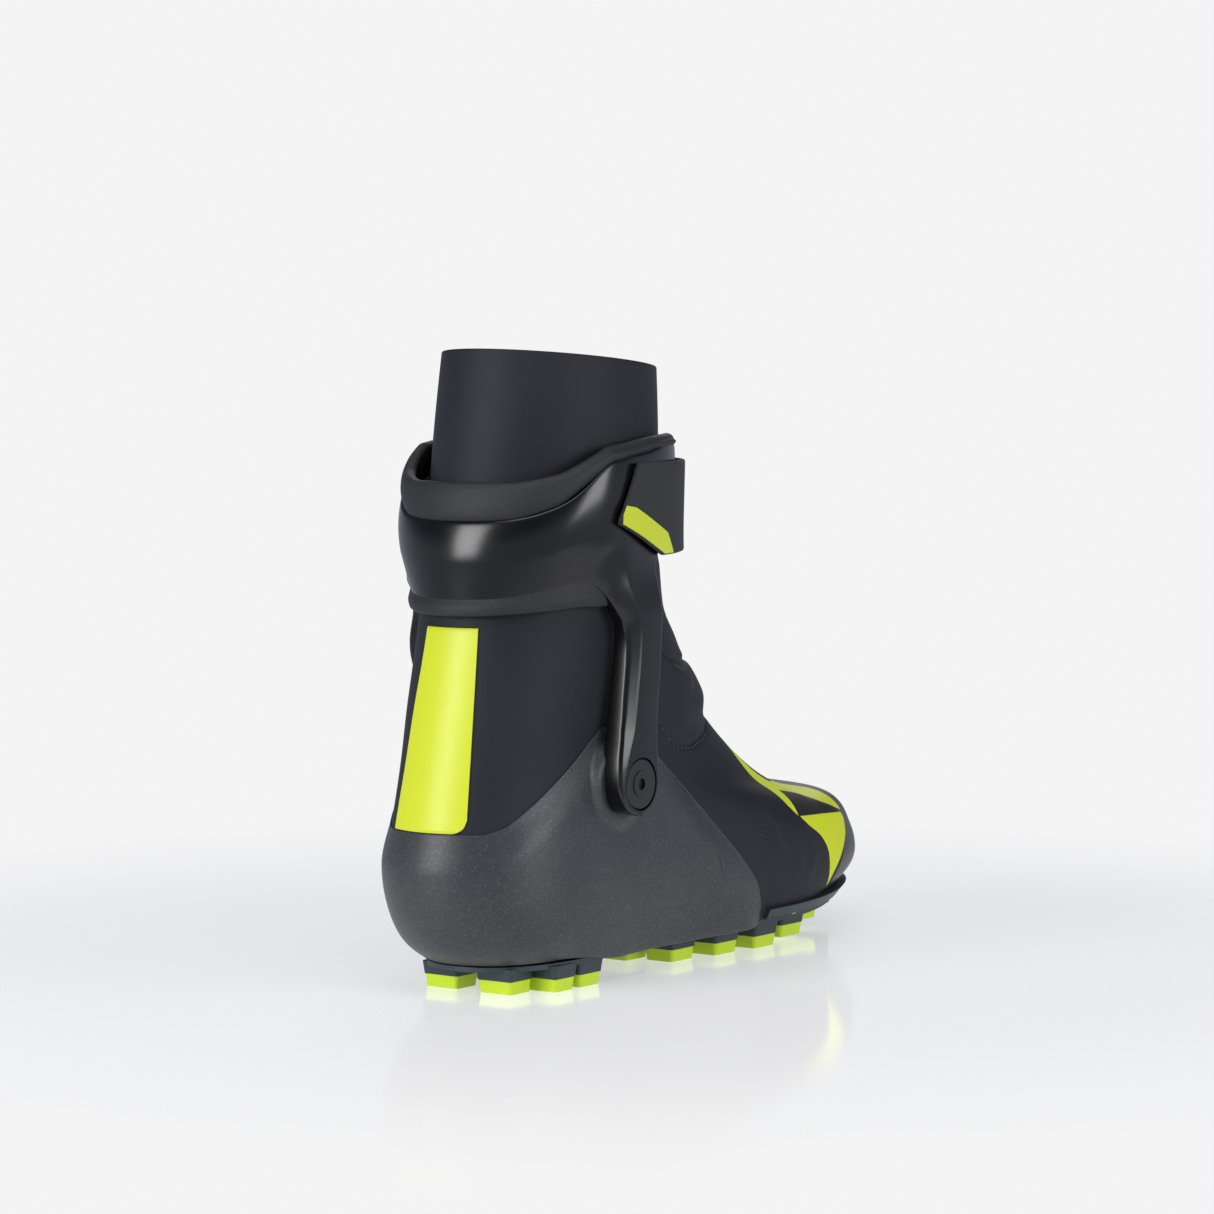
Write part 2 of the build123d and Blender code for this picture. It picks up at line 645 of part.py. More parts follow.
def sole_outline(inset, lift):
    """The sole's outline as a face on the tilted sole plane, lowered by lift."""
    back, nose = ring_ends(0, 0)
    length = math.dist(back, nose)
    with BuildSketch(ring_plane(back, nose, -lift)) as outline:
        with BuildLine():
            Spline(*ring_points(0, length, inset), periodic=True)
        make_face()
    return outline.sketch


def sole_edge(x, side):
    """Y of the sole's outline at x, on the outer (-1) or inner (+1) side."""
    share = (x - SOLE_REAR[0]) / (SOLE_FRONT[0] - SOLE_REAR[0])
    return side * half_width(0, share, 0) + toe_shift(0, share)


HEEL_LUG_X = [-111.0, -96.0, -80.0]
HEEL_LUG_HALF = [13.0, 23.0, 24.0]
HEEL_LUG_SIZE = [(13, 15), (12, 15), (13, 14)]
OUTER_LUG_X = [-6.0, 19.0, 44.0, 69.0, 93.0]
OUTER_LUG_SIZE = (15, 13)
CENTRE_LUG_X = [-14.0, 10.0, 34.0, 58.0, 82.0]
CENTRE_LUG_SIZE = (14, 14)
LUG_EDGE = 18.0  # sole's edge to the middle of an outer lug


def lug_places():
    """(x, y, length, width, floor height, part of the sole) of every lug."""
    places = []
    for x, y, size in zip(HEEL_LUG_X, HEEL_LUG_HALF, HEEL_LUG_SIZE):
        for side in (-1, 1):
            places.append((x, side * y, *size, 0.0, "heel"))
    for x in OUTER_LUG_X:
        for side in (-1, 1):
            y = sole_edge(x, side) - side * LUG_EDGE
            places.append((x, y, *OUTER_LUG_SIZE, spring(x), "forefoot"))
    for x in CENTRE_LUG_X:
        places.append((x, toe_shift(0, 0.5 + x / SOLE_LENGTH), *CENTRE_LUG_SIZE, spring(x), "forefoot"))
    return places


def spring(x):
    """Height of the lugs off the floor, which grows towards the toe."""
    return TOE_SPRING * smooth((x - 50.0) / 60.0)


def lug(x, y, length, width, low, high, grow):
    """One tapered lug between two heights, grown by grow at its lower end."""
    with BuildSketch(Plane.XY.offset(low)) as foot:
        with Locations((x, y)):
            RectangleRounded(length + grow, width + grow, 1.5)
    extrude(foot.sketch, amount=high - low, taper=-LUG_TAPER)


def make_outsole():
    """Rubber outsole: a thin plate with the lug bases and the housing of the toe bar."""
    bar_y = toe_shift(0, 0.95)
    with BuildPart() as outsole:
        extrude(sole_outline(-0.6, PLATE_DROP + OUTSOLE_WALL), amount=OUTSOLE_WALL)
        for x, y, length, width, floor, _ in lug_places():
            low = floor + LUG_TIP_HEIGHT
            grow = 2 * LUG_TIP_HEIGHT * math.tan(math.radians(LUG_TAPER))
            lug(x, y, length, width, low, sole_z(x) - PLATE_DROP - OUTSOLE_WALL / 2, grow)
        with BuildSketch(Plane.XY.offset(BAR_Z - BAR_COVER)):
            with Locations((BAR_X, bar_y)):
                RectangleRounded(BAR_POCKET + 6, BAR_EXPOSED + 12, 4)
        extrude(amount=sole_z(BAR_X) - PLATE_DROP - OUTSOLE_WALL / 2 - BAR_Z + BAR_COVER)
        with Locations((BAR_X, bar_y, BAR_Z - 10)):
            Box(BAR_POCKET, BAR_EXPOSED, 13.5, align=(Align.CENTER, Align.CENTER, Align.MIN), mode=Mode.SUBTRACT)
        with Locations(Location((BAR_X, bar_y, BAR_Z), (90, 0, 0))):
            Cylinder(BAR_R + 0.02, BAR_EXPOSED + 8.1, mode=Mode.SUBTRACT)
    save(outsole, "outsole")


def make_toe_bar():
    """Steel bar across the toe that the binding's jaw closes on."""
    with BuildPart() as bar:
        with Locations(Location((BAR_X, toe_shift(0, 0.95), BAR_Z), (90, 0, 0))):
            Cylinder(BAR_R, BAR_EXPOSED + 8)
    save(bar, "toe_bar")


def make_lug_tips():
    """Bright hard-wearing tips under the lugs, as one group at the heel and one at the forefoot."""
    for where in ("heel", "forefoot"):
        with BuildPart() as tips:
            for x, y, length, width, floor, part in lug_places():
                if part == where:
                    lug(x, y, length, width, floor, floor + LUG_TIP_HEIGHT, 0)
        save(tips, f"{where}_lug_tips")


# ---------------------------------------------------------------- zip of the lace cover
def zip_line():
    """Start and end of the zip's straight line just above the skin, and the skin's normal along it."""
    xs = [ZIP_START_X + (ZIP_END_X - ZIP_START_X) * k / 6 for k in range(7)]
    ground = [skin_height(x, ZIP_Y) for x in xs]
    slope = (ground[-1] - ground[0]) / (xs[-1] - xs[0])
    lift = max(g - (ground[0] + slope * (x - xs[0])) for x, g in zip(xs, ground)) + 0.9
    start = Vector(xs[0], ZIP_Y, ground[0] + lift)
    stop = Vector(xs[-1], ZIP_Y, ground[-1] + lift)
    lean = skin_height(xs[3], ZIP_Y - 3) - skin_height(xs[3], ZIP_Y + 3)
    normal = (stop - start).cross(Vector(0, 6, -lean)).normalized()
    return start, stop, -normal if normal.Z < 0 else normal


ZIP_TOP, ZIP_TOE, ZIP_NORMAL = zip_line()
ZIP_LENGTH = (ZIP_TOE - ZIP_TOP).length
ZIP_PLANE = Plane(origin=ZIP_TOP, x_dir=ZIP_TOE - ZIP_TOP, z_dir=ZIP_NORMAL)
TAPE_WALL = 0.5
CHAIN_HEIGHT = 1.2
WELT_DEPTH = 8.0  # the welt under the tape fills down to the skin
CHAIN_WIDTH = 3.0


PULL_WALL = 1.0
PULL_WIDTH = 5.0
PULL_LENGTH = 18.0
PULL_EYE_R = 0.9
PULL_PIN_R = 0.5
PIN_PLAY = 0.06
LUG_WIDTH = 1.2
LUG_HALF_LENGTH = 1.2


def zip_pin_plane(x, height):
    """The plane across the pull's pin, at a height over the tape and a place along the zip."""
    return Plane(origin=ZIP_PLANE.from_local_coords((x, 0, height)), x_dir=ZIP_PLANE.x_dir, z_dir=ZIP_PLANE.y_dir)


def make_zip():
    """Water-repellent zip of the lace cover: tape, chain, slider and pull."""
    with BuildPart() as tape:
        with BuildSketch(ZIP_PLANE) as welt:
            with Locations((ZIP_LENGTH / 2, 0)):
                RectangleRounded(ZIP_LENGTH + 6, 9, 2)
        extrude(amount=TAPE_WALL)
        extrude(welt.sketch, amount=-WELT_DEPTH)
        add(last(-0.1), mode=Mode.SUBTRACT)
    save(tape, "zip_tape")

    with BuildPart() as chain:
        with BuildSketch(ZIP_PLANE.offset(TAPE_WALL + 0.05)):
            with Locations((ZIP_LENGTH / 2, 0)):
                Rectangle(ZIP_LENGTH, CHAIN_WIDTH)
        extrude(amount=CHAIN_HEIGHT)
    save(chain, "zip_chain")

    slider_low = TAPE_WALL + 0.25
    slider_high = TAPE_WALL + CHAIN_HEIGHT + 1.5
    pin_height = slider_high + PULL_EYE_R + 0.4
    pin_x = SLIDER_LENGTH / 2
    with BuildPart() as slider:
        with BuildSketch(ZIP_PLANE.offset(slider_low)):
            with Locations((pin_x, 0)):
                RectangleRounded(SLIDER_LENGTH, CHAIN_WIDTH + 3, 1.2)
        extrude(amount=slider_high - slider_low)
        with BuildSketch(ZIP_PLANE.offset(slider_low - 1)):
            with Locations((pin_x, 0)):
                Rectangle(2 * SLIDER_LENGTH, CHAIN_WIDTH + 0.8)
        extrude(amount=CHAIN_HEIGHT + 1.2, mode=Mode.SUBTRACT)
        with BuildSketch(ZIP_PLANE.offset(slider_high - 0.2)):
            with Locations((pin_x, 0)):
                Rectangle(LUG_HALF_LENGTH * 2, LUG_WIDTH)
        extrude(amount=pin_height - slider_high + 1.3)
        with BuildSketch(zip_pin_plane(pin_x, pin_height)):
            Circle(PULL_PIN_R + PIN_PLAY)
        extrude(amount=LUG_WIDTH, both=True, mode=Mode.SUBTRACT)
    save(slider, "zip_slider")

    with BuildPart() as pull:
        with BuildSketch(ZIP_PLANE.offset(pin_height - PULL_WALL / 2)):
            with Locations((pin_x + PULL_LENGTH / 2, 0)):
                RectangleRounded(PULL_LENGTH, PULL_WIDTH, 1.2)
        extrude(amount=PULL_WALL)
        with BuildSketch(zip_pin_plane(pin_x, pin_height)):
            Circle(PULL_EYE_R)
        extrude(amount=PULL_WIDTH / 2, both=True)
        with BuildSketch(ZIP_PLANE.offset(pin_height - 2)):
            with Locations((pin_x, 0)):
                Rectangle(4.4, LUG_WIDTH + 0.6)
        extrude(amount=4, mode=Mode.SUBTRACT)
        with BuildSketch(zip_pin_plane(pin_x, pin_height)):
            Circle(PULL_PIN_R)
        extrude(amount=PULL_WIDTH / 2, both=True)
    save(pull, "zip_pull")
    return pin_height


# ---------------------------------------------------------------- shaft and cuff
def keep_shaft():
    """Keeps what lies above the ankle joint, outside the pivot's cylinder."""
    pivot_cylinder(INTERFACE_R + INTERFACE_GAP, Mode.SUBTRACT)
    with BuildSketch(Plane.XZ.offset(-100)) as outline:
        with BuildLine():
            Polyline((REAR_X, PIVOT_Z + 40), (PIVOT_X + 60, PIVOT_Z + 60), (TOE_X, PIVOT_Z + 60),
                     (TOE_X, BOOT_HEIGHT + 40), (REAR_X, BOOT_HEIGHT + 40), close=True)
        make_face()
    extrude(outline.sketch, amount=200, mode=Mode.INTERSECT)


def make_gaiter():
    """Smooth softshell gaiter that closes round the leg above the ankle."""
    back, nose = profile("rear")[-1], profile("front")[-1]
    with BuildPart() as gaiter:
        shell(0, SKIN_WALL)
        keep_shaft()
        split(bisect_by=ring_plane(back, nose), keep=Keep.BOTTOM)
    save(gaiter, "ankle_gaiter")


def make_shaft_lining():
    """Foam lining of the shaft, from the ankle to below the gaiter's rim."""
    lining_top = BOOT_HEIGHT - 40
    with BuildPart() as lining:
        shell(PAD_START, LINER_START + LINER_WALL - 1.5)
        keep_shaft()
        split(bisect_by=Plane.XY.offset(lining_top), keep=Keep.BOTTOM)
    save(lining, "shaft_lining")


def make_cuff_shell():
    """Glossy cuff: a band round the back of the leg and two arms down to the pivots, in one moulding."""
    with BuildPart() as band:
        shell(CUFF_OUTSIDE, CUFF_INSIDE, band=True)
        keep_side(BAND_OUTLINE, 4)
    with BuildPart() as arms:
        for side in (1, -1):
            with BuildSketch(PIVOT_SIDE.offset(side * ARM_INNER)):
                Circle(ARM_END_R)
                with BuildLine():
                    FilletPolyline(*ARM_REAR_EDGE, *ARM_FRONT_EDGE, radius=ARM_CORNER_R, close=True)
                make_face()
            extrude(amount=side * ARM_THICK)
        add(last(CUFF_INSIDE - CUFF_WALL / 5, True), mode=Mode.SUBTRACT)
    with BuildPart() as cuff:
        add(band.part)
        add(arms.part)
        both_sides(BUSHING_R + BUSHING_PLAY, ARM_INNER - 1, ARM_FACE + 1, mode=Mode.SUBTRACT)
        both_sides(WASHER_R + WASHER_SEAT_PLAY, WASHER_SEAT - 0.1, ARM_FACE + 1, mode=Mode.SUBTRACT)
    save(cuff, "cuff_shell")


def make_cuff_padding():
    """Foam collar above the shell's edge, and the lining inside the shell that shows below it."""
    with BuildPart() as pad:
        shell(CUFF_OUTSIDE + 0.2, LINING_INSIDE, band=True)
        keep_side(PAD_OUTLINE, 1.2)
    save(pad, "cuff_collar_pad")

    with BuildPart() as lining:
        shell(LINING_OUTSIDE, LINING_INSIDE, band=True)
        keep_side(LINING_OUTLINE, 2)
    save(lining, "cuff_lining")


def strap_body():
    """The strap's own solid: a different side outline on each side of the boot."""
    halves = []
    for outline, low_y, high_y in ((STRAP_END_OUTLINE, -100, 0), (STRAP_ROOT_OUTLINE, 0, 100)):
        with BuildPart() as half:
            shell(STRAP_OUTSIDE, STRAP_INSIDE, band=True)
            keep_side(outline, 2, low_y, high_y)
        halves.append(half.part)
    with BuildPart() as strap:
        for half in halves:
            add(half)
    save(strap, "power_strap")


def strap_details():
    """Thin pieces on and under the strap, which follow the cuff as it does."""
    patch_front = STRAP_END_X + 34
    hook = [(STRAP_END_X + 4, STRAP_LOW + 14), (STRAP_END_X + 13, STRAP_TOP - 3),
            (patch_front, STRAP_TOP - 3), (patch_front, STRAP_LOW + 4), (STRAP_END_X + 29, STRAP_LOW + 4)]
    loop = [(STRAP_END_X + 2, STRAP_LOW + 15), (STRAP_END_X + 11, STRAP_TOP - 1),
            (patch_front + 6, STRAP_TOP - 1), (patch_front + 6, STRAP_LOW + 6), (STRAP_END_X + 26, STRAP_LOW + 6)]
    trim_width = 6.0
    trim = [(STRAP_END_X + 0.6, STRAP_LOW + STRAP_TAB_RISE + 0.3), (STRAP_END_X + 3, STRAP_LOW + STRAP_TAB_RISE + 5),
            (STRAP_END_X + 30, STRAP_LOW + trim_width), (STRAP_END_X + 40, STRAP_LOW + 0.5),
            (STRAP_END_X + 33, STRAP_LOW + 0.5)]
    layers = [
        ("strap_hook_patch", STRAP_INSIDE + 0.05, STRAP_INSIDE + 0.65, hook),
        ("strap_loop_patch", CUFF_OUTSIDE - 0.65, CUFF_OUTSIDE - 0.05, loop),
        ("strap_trim", STRAP_OUTSIDE - FILM, STRAP_OUTSIDE - 0.05, trim),
    ]
    for name, outer, inner, outline in layers:
        with BuildPart() as layer:
            shell(min(outer, inner), max(outer, inner), band=True)
            keep_side(outline, 1, -100, -20)
        save(layer, name)


ANCHOR_GAP = 2.4
ANCHOR_LENGTH = 16.0
RIVET_R = 3.0


def make_strap_anchor():
    """Riveted plate that holds the strap's fixed end on the inner side of the cuff."""
    plate_front = STRAP_HINGE_X - ANCHOR_GAP
    plate_rear = plate_front - ANCHOR_LENGTH
    low, high = STRAP_LOW + 4, STRAP_TOP - 4
    rivets = [((plate_front + plate_rear) / 2, low + 7), ((plate_front + plate_rear) / 2, high - 7)]
    plate_outside = CUFF_OUTSIDE - 0.1 - STRAP_WALL
    with BuildPart() as plate:
        shell(plate_outside, CUFF_OUTSIDE - 0.1, band=True)
        keep_side([(plate_rear, low), (plate_rear, high), (plate_front, high), (plate_front, low)], 2.5, 20, 100)
        with BuildSketch(Plane.XZ.offset(-100)):
            with Locations(*rivets):
                Circle(RIVET_R * 0.5 + 0.1)
        extrude(amount=80, mode=Mode.SUBTRACT)
    save(plate, "strap_anchor_plate")

    rivet_plane = max(side_reach(x, z, plate_outside) for x, z in rivets)
    with BuildPart() as pins:
        with BuildSketch(Plane.XZ.offset(-rivet_plane - 1.2)):
            with Locations(*rivets):
                Circle(RIVET_R)
        extrude(amount=0.8)
        fillet(pins.edges().group_by(Axis.Y)[-1], 0.5)
        with BuildSketch(Plane.XZ.offset(-rivet_plane - 0.2)):
            with Locations(*rivets):
                Circle(RIVET_R * 0.5)
        extrude(amount=2.0)
        add(last(CUFF_OUTSIDE - 0.1, True), mode=Mode.SUBTRACT)
    save(pins, "strap_anchor_rivets")


def main():
    make_upper()
    make_flex_panel()
    make_inner_boot()
    make_heel_padding()
    make_lasting_board()
    make_footbed()
    make_tongue()
    make_eyestays()
    make_lace()
    make_lace_lock()
    make_toe_cap()
    make_heel_label()
    make_heel_frame()
    make_pivot_hardware()
    make_forefoot_plate()
    make_outsole()
    make_toe_bar()
    make_lug_tips()
    pin_height = make_zip()
    make_gaiter()
    make_shaft_lining()
    make_cuff_shell()
    make_cuff_padding()
    strap_body()
    strap_details()
    make_strap_anchor()
    hinge = ZIP_PLANE.from_local_coords((SLIDER_LENGTH / 2, 0, pin_height))
    print("zip direction", tuple(round(v, 5) for v in ZIP_PLANE.x_dir), "length", round(ZIP_LENGTH, 3))
    print("zip side", tuple(round(v, 5) for v in ZIP_PLANE.y_dir), "pull hinge", tuple(round(v, 3) for v in hinge))
    strap_hinge_y = side_reach(STRAP_HINGE_X, (STRAP_LOW + STRAP_TOP) / 2, STRAP_OUTSIDE) - STRAP_WALL / 2
    print("strap hinge", STRAP_HINGE_X, round(strap_hinge_y, 3))


main()
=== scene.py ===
# %% [markdown]
# # A cross country skating boot
# The boot is a soft shoe held in a stiff skeleton: a carbon cup round the heel, and a glossy cuff that
# turns on two pivots beside the ankle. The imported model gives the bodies, their joints and the hard pieces.
# Every soft or moulded piece is built again here as a smooth surface, in the same place.

# %% Load the frame
import math
import bmesh
import bpy
import numpy as np
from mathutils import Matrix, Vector


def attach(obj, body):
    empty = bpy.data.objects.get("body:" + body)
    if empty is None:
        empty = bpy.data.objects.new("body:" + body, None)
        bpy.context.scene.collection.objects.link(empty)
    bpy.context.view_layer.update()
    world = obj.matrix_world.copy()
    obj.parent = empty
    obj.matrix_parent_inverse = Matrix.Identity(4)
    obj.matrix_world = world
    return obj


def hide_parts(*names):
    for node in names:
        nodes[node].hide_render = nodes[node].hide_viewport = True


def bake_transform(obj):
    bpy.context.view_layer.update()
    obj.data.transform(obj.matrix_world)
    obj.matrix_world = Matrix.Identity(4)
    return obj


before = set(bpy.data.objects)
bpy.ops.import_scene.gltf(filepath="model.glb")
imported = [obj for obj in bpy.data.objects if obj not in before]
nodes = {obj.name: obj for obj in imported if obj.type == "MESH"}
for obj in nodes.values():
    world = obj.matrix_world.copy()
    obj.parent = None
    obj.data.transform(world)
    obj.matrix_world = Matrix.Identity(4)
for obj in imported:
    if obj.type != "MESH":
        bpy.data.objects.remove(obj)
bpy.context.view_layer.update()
MM = 0.001

# %% [markdown]
# ## The last
# Shoes are built round a last, a solid foot form. Ours is a stack of tilted rings. Each ring has a rear and
# a front point, a heel and a ball half width, and rounded ends. Smooth curves through the rings give the
# skin, and moving along the skin's normal gives every other layer, so all the pieces nest like real ones.

# %% The rings of the last
SOLE_LENGTH, BOOT_HEIGHT = 292.0, 247.0
BALL_HALF, HEEL_HALF = 50.0, 36.0
RINGS = np.array([
    (-0.863, 0.0551, 0.897, 0.0806, 0.86, 0.88, 0.14, 0.36, 9.0),
    (-0.940, 0.0888, 0.972, 0.1092, 0.95, 0.96, 0.14, 0.35, 9.0),
    (-0.993, 0.1541, 0.993, 0.1377, 1.00, 1.00, 0.14, 0.34, 9.0),
    (-1.000, 0.2265, 0.959, 0.1867, 1.00, 0.96, 0.14, 0.34, 9.0),
    (-0.979, 0.3000, 0.836, 0.2265, 0.97, 0.84, 0.15, 0.36, 7.0),
    (-0.952, 0.3724, 0.630, 0.2510, 0.96, 0.68, 0.17, 0.38, 4.0),
    (-0.925, 0.4458, 0.397, 0.3122, 0.97, 0.58, 0.20, 0.36, 2.0),
    (-0.897, 0.5183, 0.205, 0.3969, 1.00, 0.54, 0.26, 0.38, 1.0),
    (-0.870, 0.5989, 0.055, 0.4897, 1.03, 0.60, 0.34, 0.42, 0.0),
    (-0.842, 0.6887, -0.055, 0.6152, 1.08, 0.72, 0.46, 0.50, 0.0),
    (-0.815, 0.7978, -0.103, 0.7611, 1.12, 0.80, 0.50, 0.50, 0.0),
    (-0.788, 0.8990, -0.110, 0.8620, 1.12, 0.81, 0.50, 0.50, 0.0),
    (-0.760, 1.0000, -0.116, 0.9630, 1.09, 0.79, 0.50, 0.50, 0.0),
])
SHARES = np.array([0, 0.03, 0.12, 0.30, 0.50, 0.70, 0.88, 0.97, 1])
BAND_REAR_ROUND, BAND_FROM_RING = 0.35, 7
TOP_RING = len(RINGS) - 1


def smooth(x):
    """A cubic step: 3x^2 - 2x^3 with x held between 0 and 1."""
    x = np.clip(x, 0, 1)
    return x * x * (3 - 2 * x)


def quarter(x):
    """A quarter circle that rises from 0 to 1 as x does: the root of 1 - (1 - x)^2."""
    return np.sqrt(1 - (1 - np.clip(x, 0, 1)) ** 2)


def through(knots, rows, at, closed=False):
    """A cubic spline through rows of values at the knots: equal slopes and curvatures where spans meet.
    An open one is straight at its ends, and a closed one joins its own start."""
    n = len(knots)
    span = np.diff(knots)
    side = np.zeros((n, n))
    want = np.zeros((n,) + rows.shape[1:])
    inner = np.arange(1, n - 1)
    side[inner, inner - 1], side[inner, inner + 1] = span[:-1], span[1:]
    side[inner, inner] = 2 * (span[:-1] + span[1:])
    slope = np.diff(rows, axis=0) / span.reshape((-1,) + (1,) * (rows.ndim - 1))
    want[1:-1] = 6 * np.diff(slope, axis=0)
    if closed:
        side[0, 0], side[0, -1] = 1, -1
        side[-1, 0], side[-1, 1] = 2 * span[0], span[0]
        side[-1, -1], side[-1, -2] = 2 * span[-1], span[-1]
        want[-1] = 6 * (slope[0] - slope[-1])
    else:
        side[0, 0] = side[-1, -1] = 1
    bend = np.linalg.solve(side, want.reshape(n, -1)).reshape(want.shape)
    k = np.clip(np.searchsorted(knots, at, side="right") - 1, 0, n - 2)
    shape = (-1,) + (1,) * (rows.ndim - 1)
    h = span[k].reshape(shape)
    a = ((knots[k + 1] - at)).reshape(shape) / h
    b = 1 - a
    return a * rows[k] + b * rows[k + 1] + ((a**3 - a) * bend[k] + (b**3 - b) * bend[k + 1]) * h * h / 6


def ring_points(inset, band):
    """Every ring's sixteen outline points in millimetres, moved inwards by inset: rear, outer, front, inner side."""
    rear = RINGS[:, :2] * (SOLE_LENGTH / 2, BOOT_HEIGHT)
    front = RINGS[:, 2:4] * (SOLE_LENGTH / 2, BOOT_HEIGHT)
    ends = []
    for line, sign in ((rear, 1), (front, -1)):
        step = np.empty_like(line)
        step[1:-1] = line[2:] - line[:-2]
        step[0], step[-1] = line[1] - line[0], line[-1] - line[-2]
        normal = sign * np.stack([step[:, 1], -step[:, 0]], 1) / np.linalg.norm(step, axis=1)[:, None]
        normal[0] = (sign, 1)
        ends.append(line + inset * normal)
    rear, front = ends
    along = front - rear
    share = np.concatenate([SHARES, SHARES[-2:0:-1]])
    side = np.concatenate([-np.ones(9), np.ones(7)])
    heel = RINGS[:, 4:5] * HEEL_HALF - inset
    ball = RINGS[:, 5:6] * BALL_HALF - inset
    rear_round = RINGS[:, 6:7].copy()
    if band:
        rear_round[BAND_FROM_RING:] = BAND_REAR_ROUND
    width = heel + (ball - heel) * smooth((share - 0.30) / 0.42)
    width = width * quarter(share / rear_round) * quarter((1 - share) / RINGS[:, 7:8])
    y = side * width + RINGS[:, 8:9] * np.maximum(0, (share - 0.5) / 0.5) ** 2
    x = rear[:, :1] + along[:, :1] * share
    z = rear[:, 1:] + along[:, 1:] * share
    return np.stack([x, y, z], -1)


class Form:
    """A skin through the rings. u runs once round a ring from the rear by the outer side, and t counts rings."""

    def __init__(self, inset=0.0, band=False, rows=721, columns=1024):
        points = ring_points(inset, band)
        closed = np.concatenate([points, points[:, :1]], 1)
        rings = []
        for ring in closed:
            knots = np.concatenate([[0], np.cumsum(np.linalg.norm(np.diff(ring, axis=0), axis=1))])
            at = np.interp(np.linspace(0, 16, columns + 1), np.arange(17), knots)
            rings.append(through(knots, ring, at[:-1], closed=True))
        rings = np.array(rings)
        gap = np.linalg.norm(np.diff(rings, axis=0), axis=2).mean(1)
        knots = np.concatenate([[0], np.cumsum(gap)])
        at = np.interp(np.linspace(0, TOP_RING, rows), np.arange(TOP_RING + 1), knots)
        self.place = through(knots, rings, at)
        self.rows, self.columns = rows, columns
        round_ = np.roll(self.place, -1, 1) - np.roll(self.place, 1, 1)
        rise = np.gradient(self.place, axis=0)
        normal = np.cross(round_, rise)
        self.normal = normal / np.linalg.norm(normal, axis=2)[..., None]
        self.rise = rise / np.linalg.norm(rise, axis=2)[..., None]

    def read(self, table, u, t):
        """A table's value between its samples, weighted by nearness in both directions."""
        u, t = np.broadcast_arrays(np.asarray(u, float), np.asarray(t, float))
        x = (u % 1.0) * self.columns
        y = np.clip(t / TOP_RING, 0, 1) * (self.rows - 1)
        i = np.floor(x).astype(int) % self.columns
        j = np.clip(np.floor(y).astype(int), 0, self.rows - 2)
        fx, fy = (x - np.floor(x))[..., None], (y - j)[..., None]
        i2 = (i + 1) % self.columns
        low = table[j, i] * (1 - fx) + table[j, i2] * fx
        high = table[j + 1, i] * (1 - fx) + table[j + 1, i2] * fx
        return low * (1 - fy) + high * fy

    def at(self, u, t, out=0.0, up=0.0):
        """Places at (u, t), moved out along the normal and up along the skin."""
        place = self.read(self.place, u, t)
        normal = self.read(self.normal, u, t)
        rise = self.read(self.rise, u, t)
        return place + normal * np.asarray(out)[..., None] + rise * np.asarray(up)[..., None]

    def reach(self, u, line, start=0.0):
        """For each u, the t at which the skin first rises over a line z(x) of the side view."""
        t = np.linspace(start, TOP_RING, 900)
        p = self.read(self.place, u[None, :], t[:, None])
        over = p[..., 2] - line(p[..., 0])
        k = np.clip(np.argmax(over > 0, axis=0), 1, len(t) - 1)
        col = np.arange(len(u))
        a, b = over[k - 1, col], over[k, col]
        share = np.clip(np.where(np.abs(a - b) > 1e-9, a / (a - b + 1e-12), 0.0), 0, 1)
        return np.where(np.any(over > 0, axis=0), t[k - 1] + (t[k] - t[k - 1]) * share, TOP_RING)

    def find(self, x, z, inner=False):
        """(u, t) of the outer or inner side's points that lie nearest to (x, z) in the side view."""
        half = self.columns // 2
        cols = np.arange(half + 1, self.columns) if inner else np.arange(1, half)
        grid = self.place[::2][:, cols]
        x, z = np.atleast_1d(x).astype(float), np.atleast_1d(z).astype(float)
        u, t = np.empty(len(x)), np.empty(len(x))
        for n in range(len(x)):
            gap = (grid[..., 0] - x[n]) ** 2 + (grid[..., 2] - z[n]) ** 2
            j, i = np.unravel_index(np.argmin(gap), gap.shape)
            u[n], t[n] = cols[i] / self.columns, 2 * j * TOP_RING / (self.rows - 1)
        return u, t


skin = Form()
band = Form(-7.0, band=True)
print("half width of the skin:", round(float(np.abs(skin.place[:, :, 1]).max()), 1), "mm")

# %% [markdown]
# ## Meshes from grids
# A grid of places becomes a mesh of quads. Most pieces here are closed shells: a cross-section loop that
# goes up the outside, round the rim, down the inside and back, carried round the boot. Carrying a whole
# loop is better than a thickness added later, because each rim can be as round or as sharp as the real one.

# %% Grids to meshes


def add_piece(name, points, faces, smooth_angle=40):
    """A named mesh object from points in millimetres and a list or array of faces."""
    mesh = bpy.data.meshes.new(name)
    mesh.from_pydata((np.asarray(points) * MM).tolist(), [], [list(map(int, f)) for f in faces])
    mesh.validate()
    obj = bpy.data.objects.new(name, mesh)
    bpy.context.scene.collection.objects.link(obj)
    mesh.shade_smooth()
    if smooth_angle:
        mesh.set_sharp_from_angle(angle=math.radians(smooth_angle))
    return obj


def grid_faces(m, n, wrap_m=False, wrap_n=False):
    """Quads of an m by n grid, joined over either edge where asked."""
    i = np.arange(m if wrap_m else m - 1)[:, None]
    j = np.arange(n if wrap_n else n - 1)[None, :]
    i2, j2 = (i + 1) % m, (j + 1) % n
    return np.stack(np.broadcast_arrays(i * n + j, i2 * n + j, i2 * n + j2, i * n + j2), -1).reshape(-1, 4)


def tidy_mesh(obj, merge=0.02):
    """Welds doubled points, such as a pole's, and turns the faces outwards."""
    bm = bmesh.new()
    bm.from_mesh(obj.data)
    bmesh.ops.remove_doubles(bm, verts=bm.verts, dist=merge * MM)
    bmesh.ops.dissolve_degenerate(bm, edges=bm.edges, dist=merge * MM * 0.5)
    bmesh.ops.recalc_face_normals(bm, faces=bm.faces)
    bm.to_mesh(obj.data)
    bm.free()
    return obj


